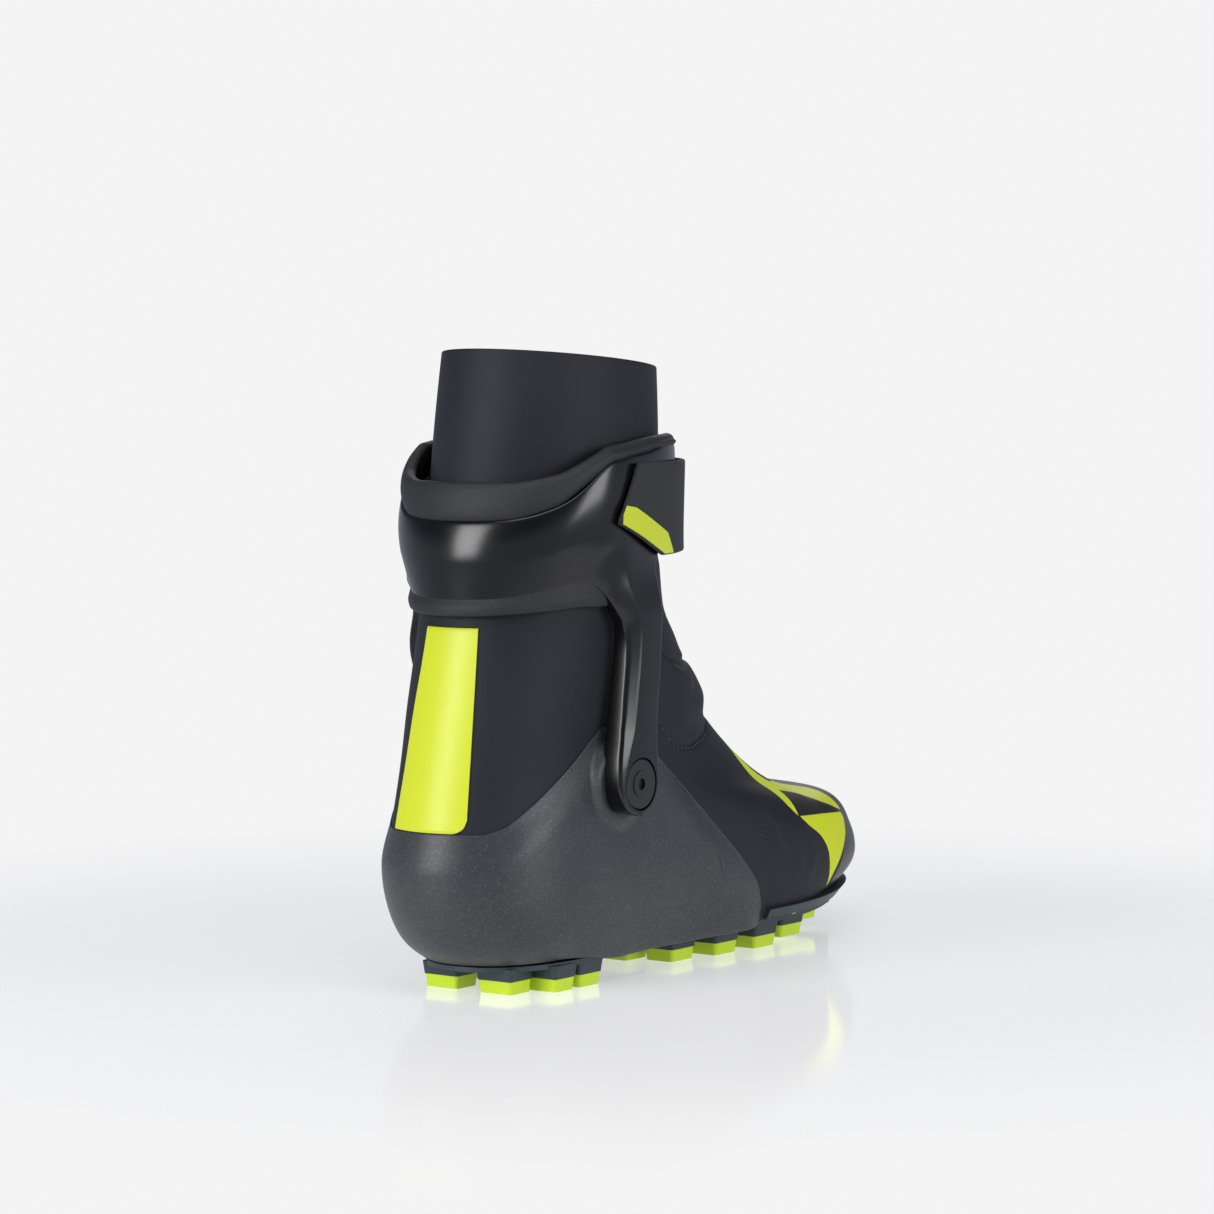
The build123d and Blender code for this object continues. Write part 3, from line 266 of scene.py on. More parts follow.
def loops_piece(name, loops, closed_path=False, smooth_angle=40, merge=0.02):
    """A closed skin over cross-section loops, shaped (path, loop, 3), with flat ends where the path is open."""
    m, n, _ = loops.shape
    faces = grid_faces(m, n, wrap_m=closed_path, wrap_n=True).tolist()
    if not closed_path:
        faces += [list(range(n)), [(m - 1) * n + k for k in range(n)][::-1]]
    obj = tidy_mesh(add_piece(name, loops.reshape(-1, 3), faces, 0), merge)
    obj.data.shade_smooth()
    if smooth_angle:
        obj.data.set_sharp_from_angle(angle=math.radians(smooth_angle))
    return obj


def shell_loops(form, u, low, high, outside, inside, out_rows=40, in_rows=8, rim_rows=6, rim=1.0):
    """Cross-section loops of a shell between two heights. For each u the loop climbs the outside, turns a half
    round over the rim, comes down the inside and turns below. outside and inside are depths, or functions of
    (u, share of the height)."""
    m = len(u)
    low, high = np.broadcast_to(low, m), np.broadcast_to(high, m)

    def depth(which, s):
        return which(u[:, None], s[None, :]) if callable(which) else np.full((m, len(s)), float(which))

    up, down = np.linspace(0, 1, out_rows), np.linspace(1, 0, in_rows)
    turn = np.linspace(0, np.pi, rim_rows + 2)[1:-1]
    parts = []
    for s, which in ((up, outside), (down, inside)):
        parts.append((np.broadcast_to(s, (m, len(s))), depth(which, s), np.zeros((m, len(s)))))
        end = s[-1:]
        o, i = depth(outside, end), depth(inside, end)
        middle, half = (o + i) / 2, (o - i) / 2
        sign = 1 if end[0] == 1 else -1
        parts.append((np.full((m, rim_rows), end[0]), middle + sign * half * np.cos(turn),
                      sign * half * rim * np.sin(turn)))
    s = np.concatenate([p[0] for p in parts], 1)
    out = np.concatenate([p[1] for p in parts], 1)
    over = np.concatenate([p[2] for p in parts], 1)
    t = low[:, None] + (high - low)[:, None] * s
    return form.at(u[:, None], t, out, over)


def side_line(*points):
    """A side-view line z(x) through points, straight between them and level beyond the ends."""
    x, z = np.array(points, float).T
    return lambda at: np.interp(at, x, z)


# %% [markdown]
# ## Shader sums
# A finish is a sum over a few patterns. One small class wraps a socket, so that `grain * 0.3 + 0.2`
# adds its Math nodes, and one method adds any other node. That keeps a recipe readable as a formula.

# %% The shader helper classes


class Wire:
    """A socket that can be added, subtracted and multiplied."""

    def __init__(self, finish, socket):
        self.finish, self.socket = finish, socket

    def _math(self, operation, *values):
        return self.finish.node("ShaderNodeMath", {"operation": operation}, *values)

    def __add__(self, other): return self._math("ADD", self, other)
    def __radd__(self, other): return self._math("ADD", other, self)
    def __sub__(self, other): return self._math("SUBTRACT", self, other)
    def __rsub__(self, other): return self._math("SUBTRACT", other, self)
    def __mul__(self, other): return self._math("MULTIPLY", self, other)


class Finish:
    """A material with one Principled surface, and a method that adds nodes to it."""

    def __init__(self, name, **sockets):
        self.material = bpy.data.materials.new(name)
        self.material.use_nodes = True
        self.tree = self.material.node_tree
        self.surface = self.tree.nodes["Principled BSDF"]
        self.set(**sockets)

    def node(self, kind, settings=None, *values, output=0, **named):
        """Adds a node, applies its settings, then its socket values or links, and returns one output."""
        made = self.tree.nodes.new(kind)
        for key, value in (settings or {}).items():
            setattr(made, key, value)
        for key, value in list(enumerate(values)) + [(k.replace("_", " "), v) for k, v in named.items()]:
            self.join(made.inputs[key], value)
        return Wire(self, made.outputs[output])

    def join(self, socket, value):
        """Links a wire to a socket, or sets the socket's own value."""
        if isinstance(value, Wire):
            self.tree.links.new(value.socket, socket)
        elif value is not None:
            socket.default_value = value

    def set(self, **sockets):
        """Sets or links sockets of the surface, named with _ for each space."""
        for key, value in sockets.items():
            self.join(self.surface.inputs[key.replace("_", " ")], value)
        return self

    def place(self):
        """The piece's own Object coordinates, in metres."""
        return self.node("ShaderNodeTexCoord", output=3)

    def noise(self, scale, detail=2.0, roughness=0.5):
        """Smooth blotches, scale of them to a metre."""
        return self.node("ShaderNodeTexNoise", None, Vector=self.place(), Scale=scale, Detail=detail,
                         Roughness=roughness)

    def cells(self, scale):
        """Flat cells, scale of them to a metre, each with its own random colour."""
        return self.node("ShaderNodeTexVoronoi", None, Vector=self.place(), Scale=scale, output=1)

    def between(self, value, low, high, to_low=0.0, to_high=1.0):
        """Maps a range to another one smoothly, and holds it beyond the ends."""
        smooth_step = {"interpolation_type": "SMOOTHSTEP"}
        return self.node("ShaderNodeMapRange", smooth_step, value, low, high, to_low, to_high)

    def mix(self, share, a, b):
        """A colour between two colours."""
        made = self.tree.nodes.new("ShaderNodeMix")
        made.data_type = "RGBA"
        self.join(made.inputs[0], share)
        self.join(made.inputs[6], (*a, 1.0) if isinstance(a, tuple) else a)
        self.join(made.inputs[7], (*b, 1.0) if isinstance(b, tuple) else b)
        return Wire(self, made.outputs[2])

    def relief(self, height, strength=0.3, distance=0.0002):
        """Sends a height pattern to the surface as a bump."""
        bump = self.node("ShaderNodeBump", None, Strength=strength, Distance=distance, Height=height)
        self.set(Normal=bump)
        return self

    def attribute(self, name):
        """A number that the mesh carries on its points."""
        return self.node("ShaderNodeAttribute", {"attribute_name": name}, output=2)


def dress(obj, finish):
    """Gives a piece its material."""
    obj.data.materials.clear()
    obj.data.materials.append(finish.material)
    return obj


def carry(obj, name, values):
    """Stores one number per point on the mesh, for a material to read."""
    layer = obj.data.attributes.new(name, "FLOAT", "POINT")
    layer.data.foreach_set("value", np.asarray(values, np.float32))


def points_of(obj):
    """The mesh's points in millimetres."""
    co = np.empty(len(obj.data.vertices) * 3)
    obj.data.vertices.foreach_get("co", co)
    return co.reshape(-1, 3) / MM


# %% [markdown]
# ## Finishes
# Black things are told apart by their gloss and grain: the softshell is a dull blue-black, the foam has a
# coarse sparkle, the carbon is grey with bright flecks, and the cuff is nearly a mirror. So each finish
# has its own base colour, its roughness, and a fine relief at the right size.

# %% Softshell, foam and knit
NEON = (0.60, 0.68, 0.016)
NEON_FILM = (0.62, 0.69, 0.018)


def softshell_finish(name, printed=False):
    """A dull coated fabric: soft blotches and a fine knit relief. On the boot's skin the toe's satin film and its
    bright print are drawn where the carried distances are above 0."""
    f = Finish(name, Specular_IOR_Level=0.3)
    blotch = f.noise(26, 3)
    weave = f.noise(2600, 2)
    tone = f.mix(f.between(blotch, 0.35, 0.7), (0.0105, 0.0112, 0.0165), (0.0140, 0.0150, 0.0215))
    rough = 0.60 + blotch * 0.06
    if printed:
        film = f.between(f.attribute("film"), -0.5, 0.6)
        tone = f.mix(film, tone, (0.030, 0.0265, 0.027))
        dark = f.between(f.attribute("diamond"), -0.35, 0.35)
        tone = f.mix(dark, tone, (0.013, 0.0125, 0.013))
        neon = f.between(f.attribute("neon"), -0.16, 0.16)
        tone = f.mix(neon, tone, (*NEON,))
        rough = rough - film * 0.24
    f.set(Base_Color=tone, Roughness=rough)
    return f.relief(weave + blotch * 0.6, 0.16, 0.00012)


softshell = softshell_finish("softshell_print", True)


def foam_finish(name, dark, light, size=1500, strength=0.5, rough=0.72):
    """Moulded foam: a cell relief with small bright grains."""
    f = Finish(name, Roughness=rough, Specular_IOR_Level=0.4)
    grain = f.noise(size, 3, 0.7)
    speck = f.between(grain, 0.60, 0.74)
    f.set(Base_Color=f.mix(speck, dark, light))
    return f.relief(grain, strength, 0.0003)


collar_foam = foam_finish("collar_foam", (0.016, 0.0165, 0.019), (0.06, 0.062, 0.068), 1700, 0.45, 0.58)
liner_fabric = foam_finish("liner_fleece", (0.022, 0.022, 0.025), (0.05, 0.05, 0.055), 900, 0.6, 0.9)
knit = foam_finish("footbed_knit", (0.035, 0.04, 0.046), (0.09, 0.1, 0.11), 700, 0.6, 0.9)

# %% Carbon, plastic, rubber and metal


def carbon_finish():
    """Chopped fibre in resin: a satin grey with scattered bright flecks of about a third of a millimetre."""
    f = Finish("carbon_flecks", Specular_IOR_Level=0.45)
    cloud = f.noise(38, 4, 0.6)
    fleck = f.node("ShaderNodeSeparateColor", None, f.cells(2600))
    bright = f.between(fleck, 0.80, 0.98)
    grain = f.noise(3600, 2, 0.6)
    tone = f.mix(f.between(cloud, 0.3, 0.75), (0.027, 0.0285, 0.0345), (0.036, 0.0375, 0.044))
    f.set(Base_Color=f.mix(bright * 0.4, tone, (0.12, 0.122, 0.13)), Roughness=0.44 - bright * 0.1)
    return f.relief(grain, 0.2, 0.0001)


def gloss_finish(name, colour=(0.0020, 0.0021, 0.0030), rough=0.20):
    """Injection-moulded black plastic: glossy, with broad dull patches and very shallow flow marks."""
    f = Finish(name, Base_Color=(*colour, 1.0), Specular_IOR_Level=0.5)
    flow = f.noise(48, 2, 0.4)
    f.set(Roughness=rough + flow * 0.08)
    return f.relief(flow, 0.10, 0.0005)


def plain_finish(name, dark, light, rough, scale, strength, metal=0.0):
    """A moulded or woven part: two near tones on a noise, and the same noise as relief."""
    f = Finish(name, Metallic=metal, Roughness=rough)
    grain = f.noise(scale, 3, 0.6)
    f.set(Base_Color=f.mix(grain, dark, light), Roughness=rough - 0.06 + grain * 0.12)
    return f.relief(grain, strength, 0.0002)


carbon = carbon_finish()
cuff_gloss = gloss_finish("cuff_gloss")
washer_gloss = gloss_finish("washer_satin", (0.007, 0.007, 0.008), 0.3)
neon_film = plain_finish("neon_film", NEON_FILM, NEON, 0.42, 240, 0.06)
petrol_rubber = plain_finish("petrol_rubber", (0.014, 0.028, 0.036), (0.024, 0.042, 0.052), 0.5, 600, 0.25)
tip_rubber = plain_finish("tip_rubber", (0.50, 0.70, 0.012), (0.60, 0.78, 0.02), 0.5, 500, 0.2)
steel = plain_finish("bar_steel", (0.5, 0.5, 0.51), (0.62, 0.62, 0.63), 0.3, 900, 0.1, 1.0)
black_steel = plain_finish("blackened_steel", (0.02, 0.02, 0.022), (0.045, 0.045, 0.048), 0.38, 900, 0.1, 0.6)
satin_black = plain_finish("satin_black", (0.012, 0.012, 0.013), (0.022, 0.022, 0.024), 0.45, 800, 0.2)
webbing = plain_finish("webbing", (0.014, 0.0145, 0.018), (0.028, 0.029, 0.034), 0.8, 1400, 0.5)
board = plain_finish("lasting_board", (0.25, 0.23, 0.2), (0.36, 0.33, 0.3), 0.8, 300, 0.2)

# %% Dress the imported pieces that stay
KEPT = [
    (washer_gloss, "pivot_washers"), (steel, "toe_bar"), (cuff_gloss, "strap_anchor_plate"), (board, "lasting_board"),
    (black_steel, "pivot_screws pivot_nuts zip_slider zip_pull strap_anchor_rivets"),
    (satin_black, "pivot_bushings zip_chain lace_lock"), (petrol_rubber, "outsole forefoot_plate"),
    (tip_rubber, "heel_lug_tips forefoot_lug_tips"), (liner_fabric, "tongue"),
    (webbing, "zip_tape strap_hook_patch strap_loop_patch lace_eyestays quick_lace"),
]
for finish, names in KEPT:
    for node in names.split():
        nodes[node].data.materials.clear()
        nodes[node].data.materials.append(finish.material)
print("kept nodes:", sum(len(names.split()) for _, names in KEPT))

# %% [markdown]
# ## The softshell skin
# Upper and gaiter look like one tube of coated fabric, though the ankle bends it. One continuous shell, with
# relief for the padded fold over the instep, runs from the boot up into the cuff.

# %% Relief of the skin
PIVOT = np.array([-70.0, 79.0])


def to_line(x, z, line):
    """Distance of (x, z) to a line of straight runs: the least of the distances to its runs."""
    line = np.array(line, float)
    best = np.full(np.shape(x), 1e9)
    for a, b in zip(line, line[1:]):
        run = b - a
        s = np.clip(((x - a[0]) * run[0] + (z - a[1]) * run[1]) / (run @ run), 0, 1)
        best = np.minimum(best, np.hypot(x - a[0] - s * run[0], z - a[1] - s * run[1]))
    return best


def inside(x, z, outline):
    """Signed distance to a closed outline, positive inside: a level ray from there crosses the outline an odd
    number of times."""
    line = np.array(list(outline) + [outline[0]], float)
    within = np.zeros(np.shape(x), bool)
    for a, b in zip(line, line[1:]):
        if a[1] != b[1]:
            crosses = ((a[1] > z) != (b[1] > z)) & (x < (b[0] - a[0]) * (z - a[1]) / (b[1] - a[1]) + a[0])
            within ^= crosses
    return np.where(within, 1, -1) * to_line(x, z, line)


# Side-view lines (x, z) in millimetres. A fold also has a height and a half width.
PANEL_SEAM = [(-40, 124), (-37, 110), (-32.7, 102), (-27.8, 95.5), (-23.8, 91.5), (-16, 88.5), (-9, 88),
              (1.9, 89.5), (12, 92), (24, 98)]
PANEL = PANEL_SEAM + [(60, 150), (0, 172), (-44, 165)]
FOLD_LINES = [([(-34, 131), (-24, 124), (-12, 120), (4, 121)], -1.6, 1.7),
              ([(-34, 127), (-22, 119), (-10, 113)], 1.1, 4.0),
              ([(-30, 146), (-20, 137), (-6, 131)], 0.9, 4.0),
              ([(-26, 160), (-16, 150), (-4, 143)], 0.6, 4.0)]
FLEX_LINES = [[(36, 54), (43, 49), (46, 43), (44, 35)],
              [(50, 50), (54, 44), (55, 38), (52, 31)],
              [(26, 60), (32, 52), (35, 44)]]


def skin_relief(place):
    """Millimetres added along the normal: the puffed stretch panel above its sewn seam, with soft folds,
    a fuller toe, faint flex creases behind the toes, and a row of shallow ridges on the outer forefoot."""
    x, y, z = place[..., 0], place[..., 1], place[..., 2]
    panel = inside(x, z, PANEL)
    front = smooth((x + 44 + (z - 90) * 0.12) / 30)
    puff = 5.2 * smooth(panel / 13) * np.exp(-(((z - 110) / 19) ** 2)) * front
    seam = -0.9 * np.exp(-((to_line(x, z, PANEL_SEAM) / 1.1) ** 2)) * (x > -42)
    folds = sum(height * np.exp(-((to_line(x, z, line) / width) ** 2)) for line, height, width in FOLD_LINES)
    folds = folds * smooth((panel + 3) / 8)
    toe = 2.2 * smooth((x - 70) / 30) * smooth((z - 44) / 12)
    flex = sum(0.45 * np.exp(-((to_line(x, z, line) / 2.6) ** 2)) for line in FLEX_LINES)
    along, down = (x - 23) / 7.5, (z - 44) / 10.5
    zone = smooth((1 - np.abs(along)) * 4) * smooth((1 - np.abs(down)) * 5) * (y < 0)
    ridges = 0.22 * zone * np.cos((z + 0.30 * (x - 23)) * 2 * np.pi / 2.15)
    return puff + seam + folds + toe + flex + ridges


def droop(place):
    """Lowers the bottom edge between the heel and the ball, where the last wraps under the sole plate."""
    x, z = place[..., 0], place[..., 2]
    along = smooth((x + 100) / 40) * (1 - smooth((x - 48) / 34))
    return 4.6 * along * smooth((sole_z(x) + 13 - z) / 13)


def sole_z(x):
    """Height of the last's bottom edge at x: a straight line between the first ring's ends."""
    return np.interp(x, [-126.0, 131.0], [13.6, 19.9])


# %% Make the skin
SKIN_ROWS, SKIN_INSIDE = 250, -1.2
FINE_FROM, FINE_TO = 0.255, 0.43  # the printed part of the toe has closer columns
u_round = np.linspace(0, 1, 330, endpoint=False)
u_round = u_round[(u_round < FINE_FROM) | (u_round > FINE_TO)]
u_round = np.unique(np.concatenate([u_round, np.linspace(FINE_FROM, FINE_TO, 150)]))


def skin_outside(u, s):
    """The skin's face at (u, share of the height): the relief above the last."""
    return skin_relief(skin.at(u, TOP_RING * s + 0 * u))


upper_loops = shell_loops(skin, u_round, 0.0, TOP_RING, skin_outside, SKIN_INSIDE, SKIN_ROWS, 60, 5)
upper = loops_piece("softshell_skin", upper_loops, closed_path=True, smooth_angle=0)
place = points_of(upper)
x, y, z = place.T


def lower(obj, places):
    """Moves a mesh's points down by the droop."""
    places = places - droop(places)[:, None] * (0, 0, 1)
    obj.data.vertices.foreach_set("co", (places * MM).ravel())
    obj.data.update()


lower(upper, place)


def outline(*runs):
    """A closed outline of smooth runs that meet in corners. Each run is a spline through its points."""
    parts = []
    for run in runs:
        run = np.array(run, float)
        walk = np.concatenate([[0], np.cumsum(np.linalg.norm(np.diff(run, axis=0), axis=1))])
        parts.append(through(walk, run, np.linspace(0, walk[-1], 16)[:-1]) if len(run) > 2 else run[:1])
    return np.concatenate(parts)


BLADE = outline([(50, 54.6), (64, 53.8), (79, 52.8), (96, 51.4)],
                [(96, 51.4), (97.6, 48.2), (95.5, 44.6), (90, 40.6), (83.7, 36), (77.8, 31), (74.4, 26.5), (73.5, 22)],
                [(73.5, 22), (71, 27.8), (69.2, 33.4), (68, 38.7), (65.8, 42.4), (62, 46.2), (55.2, 50.3), (50, 54.6)])
THIN_STRIPE = outline([(31, -9), (39, -24), (42.6, -35.8), (44, -41), (49.2, -44.3)],
                      [(49.2, -44.3), (49.7, -39.5), (51.1, -32.9)], [(51.1, -32.9), (60.5, -23.4)],
                      [(60.5, -23.4), (50, -20.5), (40, -15), (31, -9)])
CRESCENT = outline([(60.5, -23.6), (67, -18.7), (74, -17), (82, -18.5), (88.5, -22.6), (93, -27.4), (97.4, -34)],
                   [(97.4, -34), (91, -35.4), (84.7, -35.4), (77.7, -34.4), (70, -32.6), (62.8, -32), (51.1, -32.9)],
                   [(51.1, -32.9), (60.5, -23.6)])
DIAMOND = outline([(51, -34), (62.8, -33), (77.7, -35.4), (97, -35)], [(97, -35), (79, -39.6), (64, -43), (50, -44.4)],
                  [(50, -44.4), (51, -34)])
OFF = -9.0  # a distance well outside every printed shape
outer_side = y < 5
blade = np.where(outer_side & (z < 56), inside(x, z, BLADE), OFF)
stripe = np.where(outer_side, inside(x, y, THIN_STRIPE), OFF)
crescent = np.where(outer_side & (z > 48), inside(x, y, CRESCENT), OFF)
diamond = np.where(outer_side & (z > 50), inside(x, y, DIAMOND), OFF)
film_side = x - np.interp(z, [18, 27, 36, 46, 54], [76, 79, 86, 96, 88])
film_top = x - 60 - 0.25 * np.maximum(0, -y - 14) ** 1.2
carry(upper, "film", np.where(z > 80, OFF, np.where(z > 54, film_top, film_side)))
carry(upper, "diamond", diamond)
carry(upper, "neon", np.maximum.reduce([blade, stripe, crescent]))
dress(upper, softshell)
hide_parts("upper", "ankle_gaiter", "instep_stretch_panel", "toe_cap")
print("skin points:", len(x))

# %% Stitches on the panel seam


def stitches(name, form, line, gap=3.1, length=2.1, thick=0.34, lift=0.15):
    """Short threads, each a stretched ball, in a row on the skin along a line of the side view."""
    line = np.array(line, float)
    walk = np.concatenate([[0], np.cumsum(np.linalg.norm(np.diff(line, axis=0), axis=1))])
    at = np.arange(1.5, walk[-1] - 1, gap)
    u, t = form.find(np.interp(at, walk, line[:, 0]), np.interp(at, walk, line[:, 1]))
    base = form.at(u, t)
    base += form.read(form.normal, u, t) * (skin_relief(base) + lift)[:, None]
    run = np.gradient(base, axis=0)
    run /= np.linalg.norm(run, axis=1)[:, None]
    out = form.read(form.normal, u, t)
    side = np.cross(run, out)
    a, b = np.meshgrid(np.linspace(0, np.pi, 7), np.linspace(0, 2 * np.pi, 8, endpoint=False), indexing="ij")
    ball = np.stack([np.cos(a) * length / 2, np.sin(a) * np.cos(b) * thick, np.sin(a) * np.sin(b) * thick], -1)
    axes = (run, side, out)
    points = base[:, None, None] + sum(ball[..., k, None] * v[:, None, None] for k, v in enumerate(axes))
    faces = grid_faces(7, 8, wrap_n=True)
    faces = (faces[None] + 56 * np.arange(len(at))[:, None, None]).reshape(-1, 4)
    return tidy_mesh(add_piece(name, points.reshape(-1, 3), faces.tolist(), 0), 0.004)


STITCH_LINE = [(-39, 120), (-37, 110), (-32.7, 101.2), (-27.8, 94.7), (-23.8, 90.6), (-16, 87.5), (-9, 87),
               (1.9, 88.5), (12, 91), (20, 95)]
thread = stitches("panel_stitches", skin, STITCH_LINE)
dress(thread, plain_finish("thread", (0.035, 0.036, 0.04), (0.06, 0.06, 0.066), 0.7, 900, 0.2))

# %% [markdown]
# ## The heel frame
# The cup is one carbon shell. Its edge lies flush on the fabric and its body swells away from it, so the
# thickness grows from the edge downwards. A round pad swells out under each pivot.

# %% Make the heel frame
FRAME_EDGE = side_line((-150, 63.6), (-136, 63.6), (-130, 66), (-86, 96.5), (-78, 101), (-62, 102.5), (-55, 100),
                       (-38, 87), (-16, 66), (3.7, 45.5), (17, 31), (22, 23), (24.5, 12), (25, -40))
BOSS_FACE = 40.2


def frame_outside(u, s):
    """Wall thickness: thin at the top edge, full 20 mm below it, and out to the pad's face by the pivot."""
    t = frame_top[:, None] * s
    place = skin.at(u, t)
    under = FRAME_EDGE(place[..., 0]) - place[..., 2]
    wall = 0.55 + 2.0 * smooth(under / 16) ** 0.8
    far = np.hypot(place[..., 0] - PIVOT[0], place[..., 2] - PIVOT[1])
    to_face = np.maximum(BOSS_FACE - np.abs(place[..., 1]), wall)
    return wall + (to_face - wall) * smooth((19.5 - far) / 4.5)


side = np.linspace(0, 0.5, 4000)
edge_x = skin.at(side, 0 * side)[:, 0]
u_front = float(np.interp(24.6, edge_x, side))
u_side = np.linspace(0.08, u_front, 120)
u_frame = np.concatenate([-u_side[::-1], np.linspace(-0.079, 0.079, 60), u_side])
frame_top = np.maximum(skin.reach(u_frame, FRAME_EDGE), 0.02)
frame_loops = shell_loops(skin, u_frame, 0.0, frame_top, frame_outside, 0.15, 90, 6, 3, 0.6)
heel_frame = loops_piece("heel_frame_cup", frame_loops, smooth_angle=50)
lower(heel_frame, points_of(heel_frame))
dress(heel_frame, carbon)
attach(heel_frame, "boot")
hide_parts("heel_frame")

# %% The heel label
LABEL_HALF, LABEL_LOW, LABEL_HIGH, LABEL_CORNER = 15.0, 64.2, 141.0, 5.0


def across_rear(form, y, t):
    """u of the point on the rear of ring t at sideways place y."""
    u = np.linspace(-0.12, 0.12, 600)
    p = form.at(u[:, None], np.atleast_1d(t)[None, :])
    order = np.argsort(p[:, 0, 1])
    return np.interp(y, p[order, 0, 1], u[order])


label_y = np.linspace(-LABEL_HALF, LABEL_HALF, 41)
u_label = across_rear(skin, label_y, 5.0)
low_z = LABEL_LOW + LABEL_CORNER * (1 - quarter((label_y + LABEL_HALF) / LABEL_CORNER))
label_low = np.array([skin.reach(np.array([a]), lambda q, b=b: 0 * q + b)[0] for a, b in zip(u_label, low_z)])
label_high = skin.reach(u_label, lambda q: 0 * q + LABEL_HIGH)
label_loops = shell_loops(skin, u_label, label_low, label_high, 0.75, 0.1, 60, 4, 2, 0.5)
label = loops_piece("heel_label_film", label_loops, smooth_angle=50)
dress(label, neon_film)
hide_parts("heel_label")

# %% [markdown]
# ## The cuff
# One glossy moulding: a wide band round the back of the leg and an arm down each side. The easiest way to
# get clean reflections is to carry a profile along the whole U. A cross line starts at the window's edge and
# ends at the outer edge, and walks from one pivot up the arm, round the back and down to the other pivot.

# %% Stations of the cuff
# Each line: inner edge (x, z), outer edge (x, z), wall, sink of the window's edge, share of the flat border.
CUFF = np.array([
    (-70.0, 66.4, -70.0, 66.4, 7.6, 0.0, 0.10),
    (-76.3, 68.1, -63.7, 68.1, 7.6, 0.0, 0.10),
    (-80.9, 72.7, -59.1, 72.7, 7.6, 0.0, 0.10),
    (-82.6, 79.0, -57.4, 79.0, 7.6, 0.3, 0.12),
    (-82.4, 86.0, -57.6, 85.0, 7.6, 0.8, 0.15),
    (-81.2, 93.0, -58.2, 92.0, 7.6, 1.6, 0.20),
    (-79.3, 101.0, -58.4, 100.0, 7.6, 2.4, 0.24),
    (-77.4, 112.0, -57.6, 112.0, 7.4, 2.8, 0.25),
    (-75.6, 124.0, -56.2, 124.0, 7.0, 3.0, 0.25),
    (-74.8, 134.0, -55.2, 138.0, 6.2, 3.2, 0.25),
    (-76.8, 142.5, -54.6, 152.0, 5.2, 3.5, 0.26),
    (-82.4, 149.0, -54.0, 164.0, 4.2, 3.8, 0.27),
    (-87.6, 153.8, -46.0, 173.0, 3.4, 4.0, 0.27),
    (-92.5, 156.4, -34.5, 181.0, 3.0, 4.0, 0.27),
    (-95.5, 157.2, -33.0, 195.5, 3.0, 4.1, 0.27),
    (-98.0, 157.4, -35.5, 208.6, 3.0, 4.1, 0.28),
    (-103.0, 156.9, -59.0, 208.4, 3.0, 4.2, 0.31),
    (-110.0, 155.2, -88.0, 204.0, 3.0, 4.2, 0.35),
    (-119.0, 152.8, -109.0, 188.5, 3.0, 4.2, 0.42),
    (-127.5, 151.0, -122.0, 183.2, 3.0, 4.2, 0.47),
    (-140.0, 150.4, -140.0, 182.2, 3.0, 4.2, 0.48),
])
ARM_FACE = 48.4


class Chart:
    """The band's surface, read by u and height."""

    def __init__(self, form, low=60.0, high=214.0, step=0.5):
        self.z = np.arange(low, high, step)
        self.low, self.step = low, step
        cols = form.columns
        self.x = np.empty((len(self.z), cols))
        self.y = np.empty((len(self.z), cols))
        for i in range(cols):
            column = form.place[:, i]
            order = np.argsort(column[:, 2])
            self.x[:, i] = np.interp(self.z, column[order, 2], column[order, 0])
            self.y[:, i] = np.interp(self.z, column[order, 2], column[order, 1])
        self.cols = cols

    def read(self, u, z):
        """Places at (u, z), weighted between the four samples round them."""
        a = (u % 1.0) * self.cols
        b = np.clip((z - self.low) / self.step, 0, len(self.z) - 1.001)
        i, j = np.floor(a).astype(int) % self.cols, np.floor(b).astype(int)
        fa, fb, i2 = a - np.floor(a), b - j, (np.floor(a).astype(int) + 1) % self.cols
        out = []
        for table in (self.x, self.y):
            low = table[j, i] * (1 - fa) + table[j, i2] * fa
            high = table[j + 1, i] * (1 - fa) + table[j + 1, i2] * fa
            out.append(low * (1 - fb) + high * fb)
        return np.stack([out[0], out[1], z], -1)

    def u_of(self, x, z):
        """u on the outer side where the surface at height z has this x."""
        half = self.cols // 2
        row = int(np.clip(round((z - self.low) / self.step), 0, len(self.z) - 1))
        return float(np.interp(x, self.x[row, :half], np.arange(half) / self.cols))


chart = Chart(band)
knots = []
for row in CUFF:
    knots.append((chart.u_of(row[0], row[1]), row[1], chart.u_of(row[2], row[3]), row[3], *row[4:]))
knots = np.array(knots)
mid = (CUFF[:, :2] + CUFF[:, 2:4]) / 2
walk = np.concatenate([[0], np.cumsum(np.maximum(np.linalg.norm(np.diff(mid, axis=0), axis=1), 3.0))])
CUFF_LINES, CUFF_ACROSS = 220, 44
along = np.linspace(0, walk[-1], CUFF_LINES)
line = through(walk, knots, along)
line[:, 4:] = np.stack([np.interp(along, walk, knots[:, k]) for k in (4, 5, 6)], 1)
line[-1, 0] = line[-1, 2] = 0.0


def cuff_face(w):
    """Outer face at share w of each cross line: the band, with the arms' plane mixed in low down at the side."""
    u = line[:, 0:1] + (line[:, 2:3] - line[:, 0:1]) * w
    z = line[:, 1:2] + (line[:, 3:4] - line[:, 1:2]) * w
    p = chart.read(u, z)
    flat = smooth((176 - z) / 34) * smooth((p[..., 0] + 97) / 18)
    p[..., 1] = p[..., 1] * (1 - flat) - ARM_FACE * flat
    return p


def normals_of(grid):
    """Unit normals of a grid of places, from the cross product of its two directions."""
    n = np.cross(np.gradient(grid, axis=0), np.gradient(grid, axis=1))
    return n / np.maximum(np.linalg.norm(n, axis=2), 1e-9)[..., None]


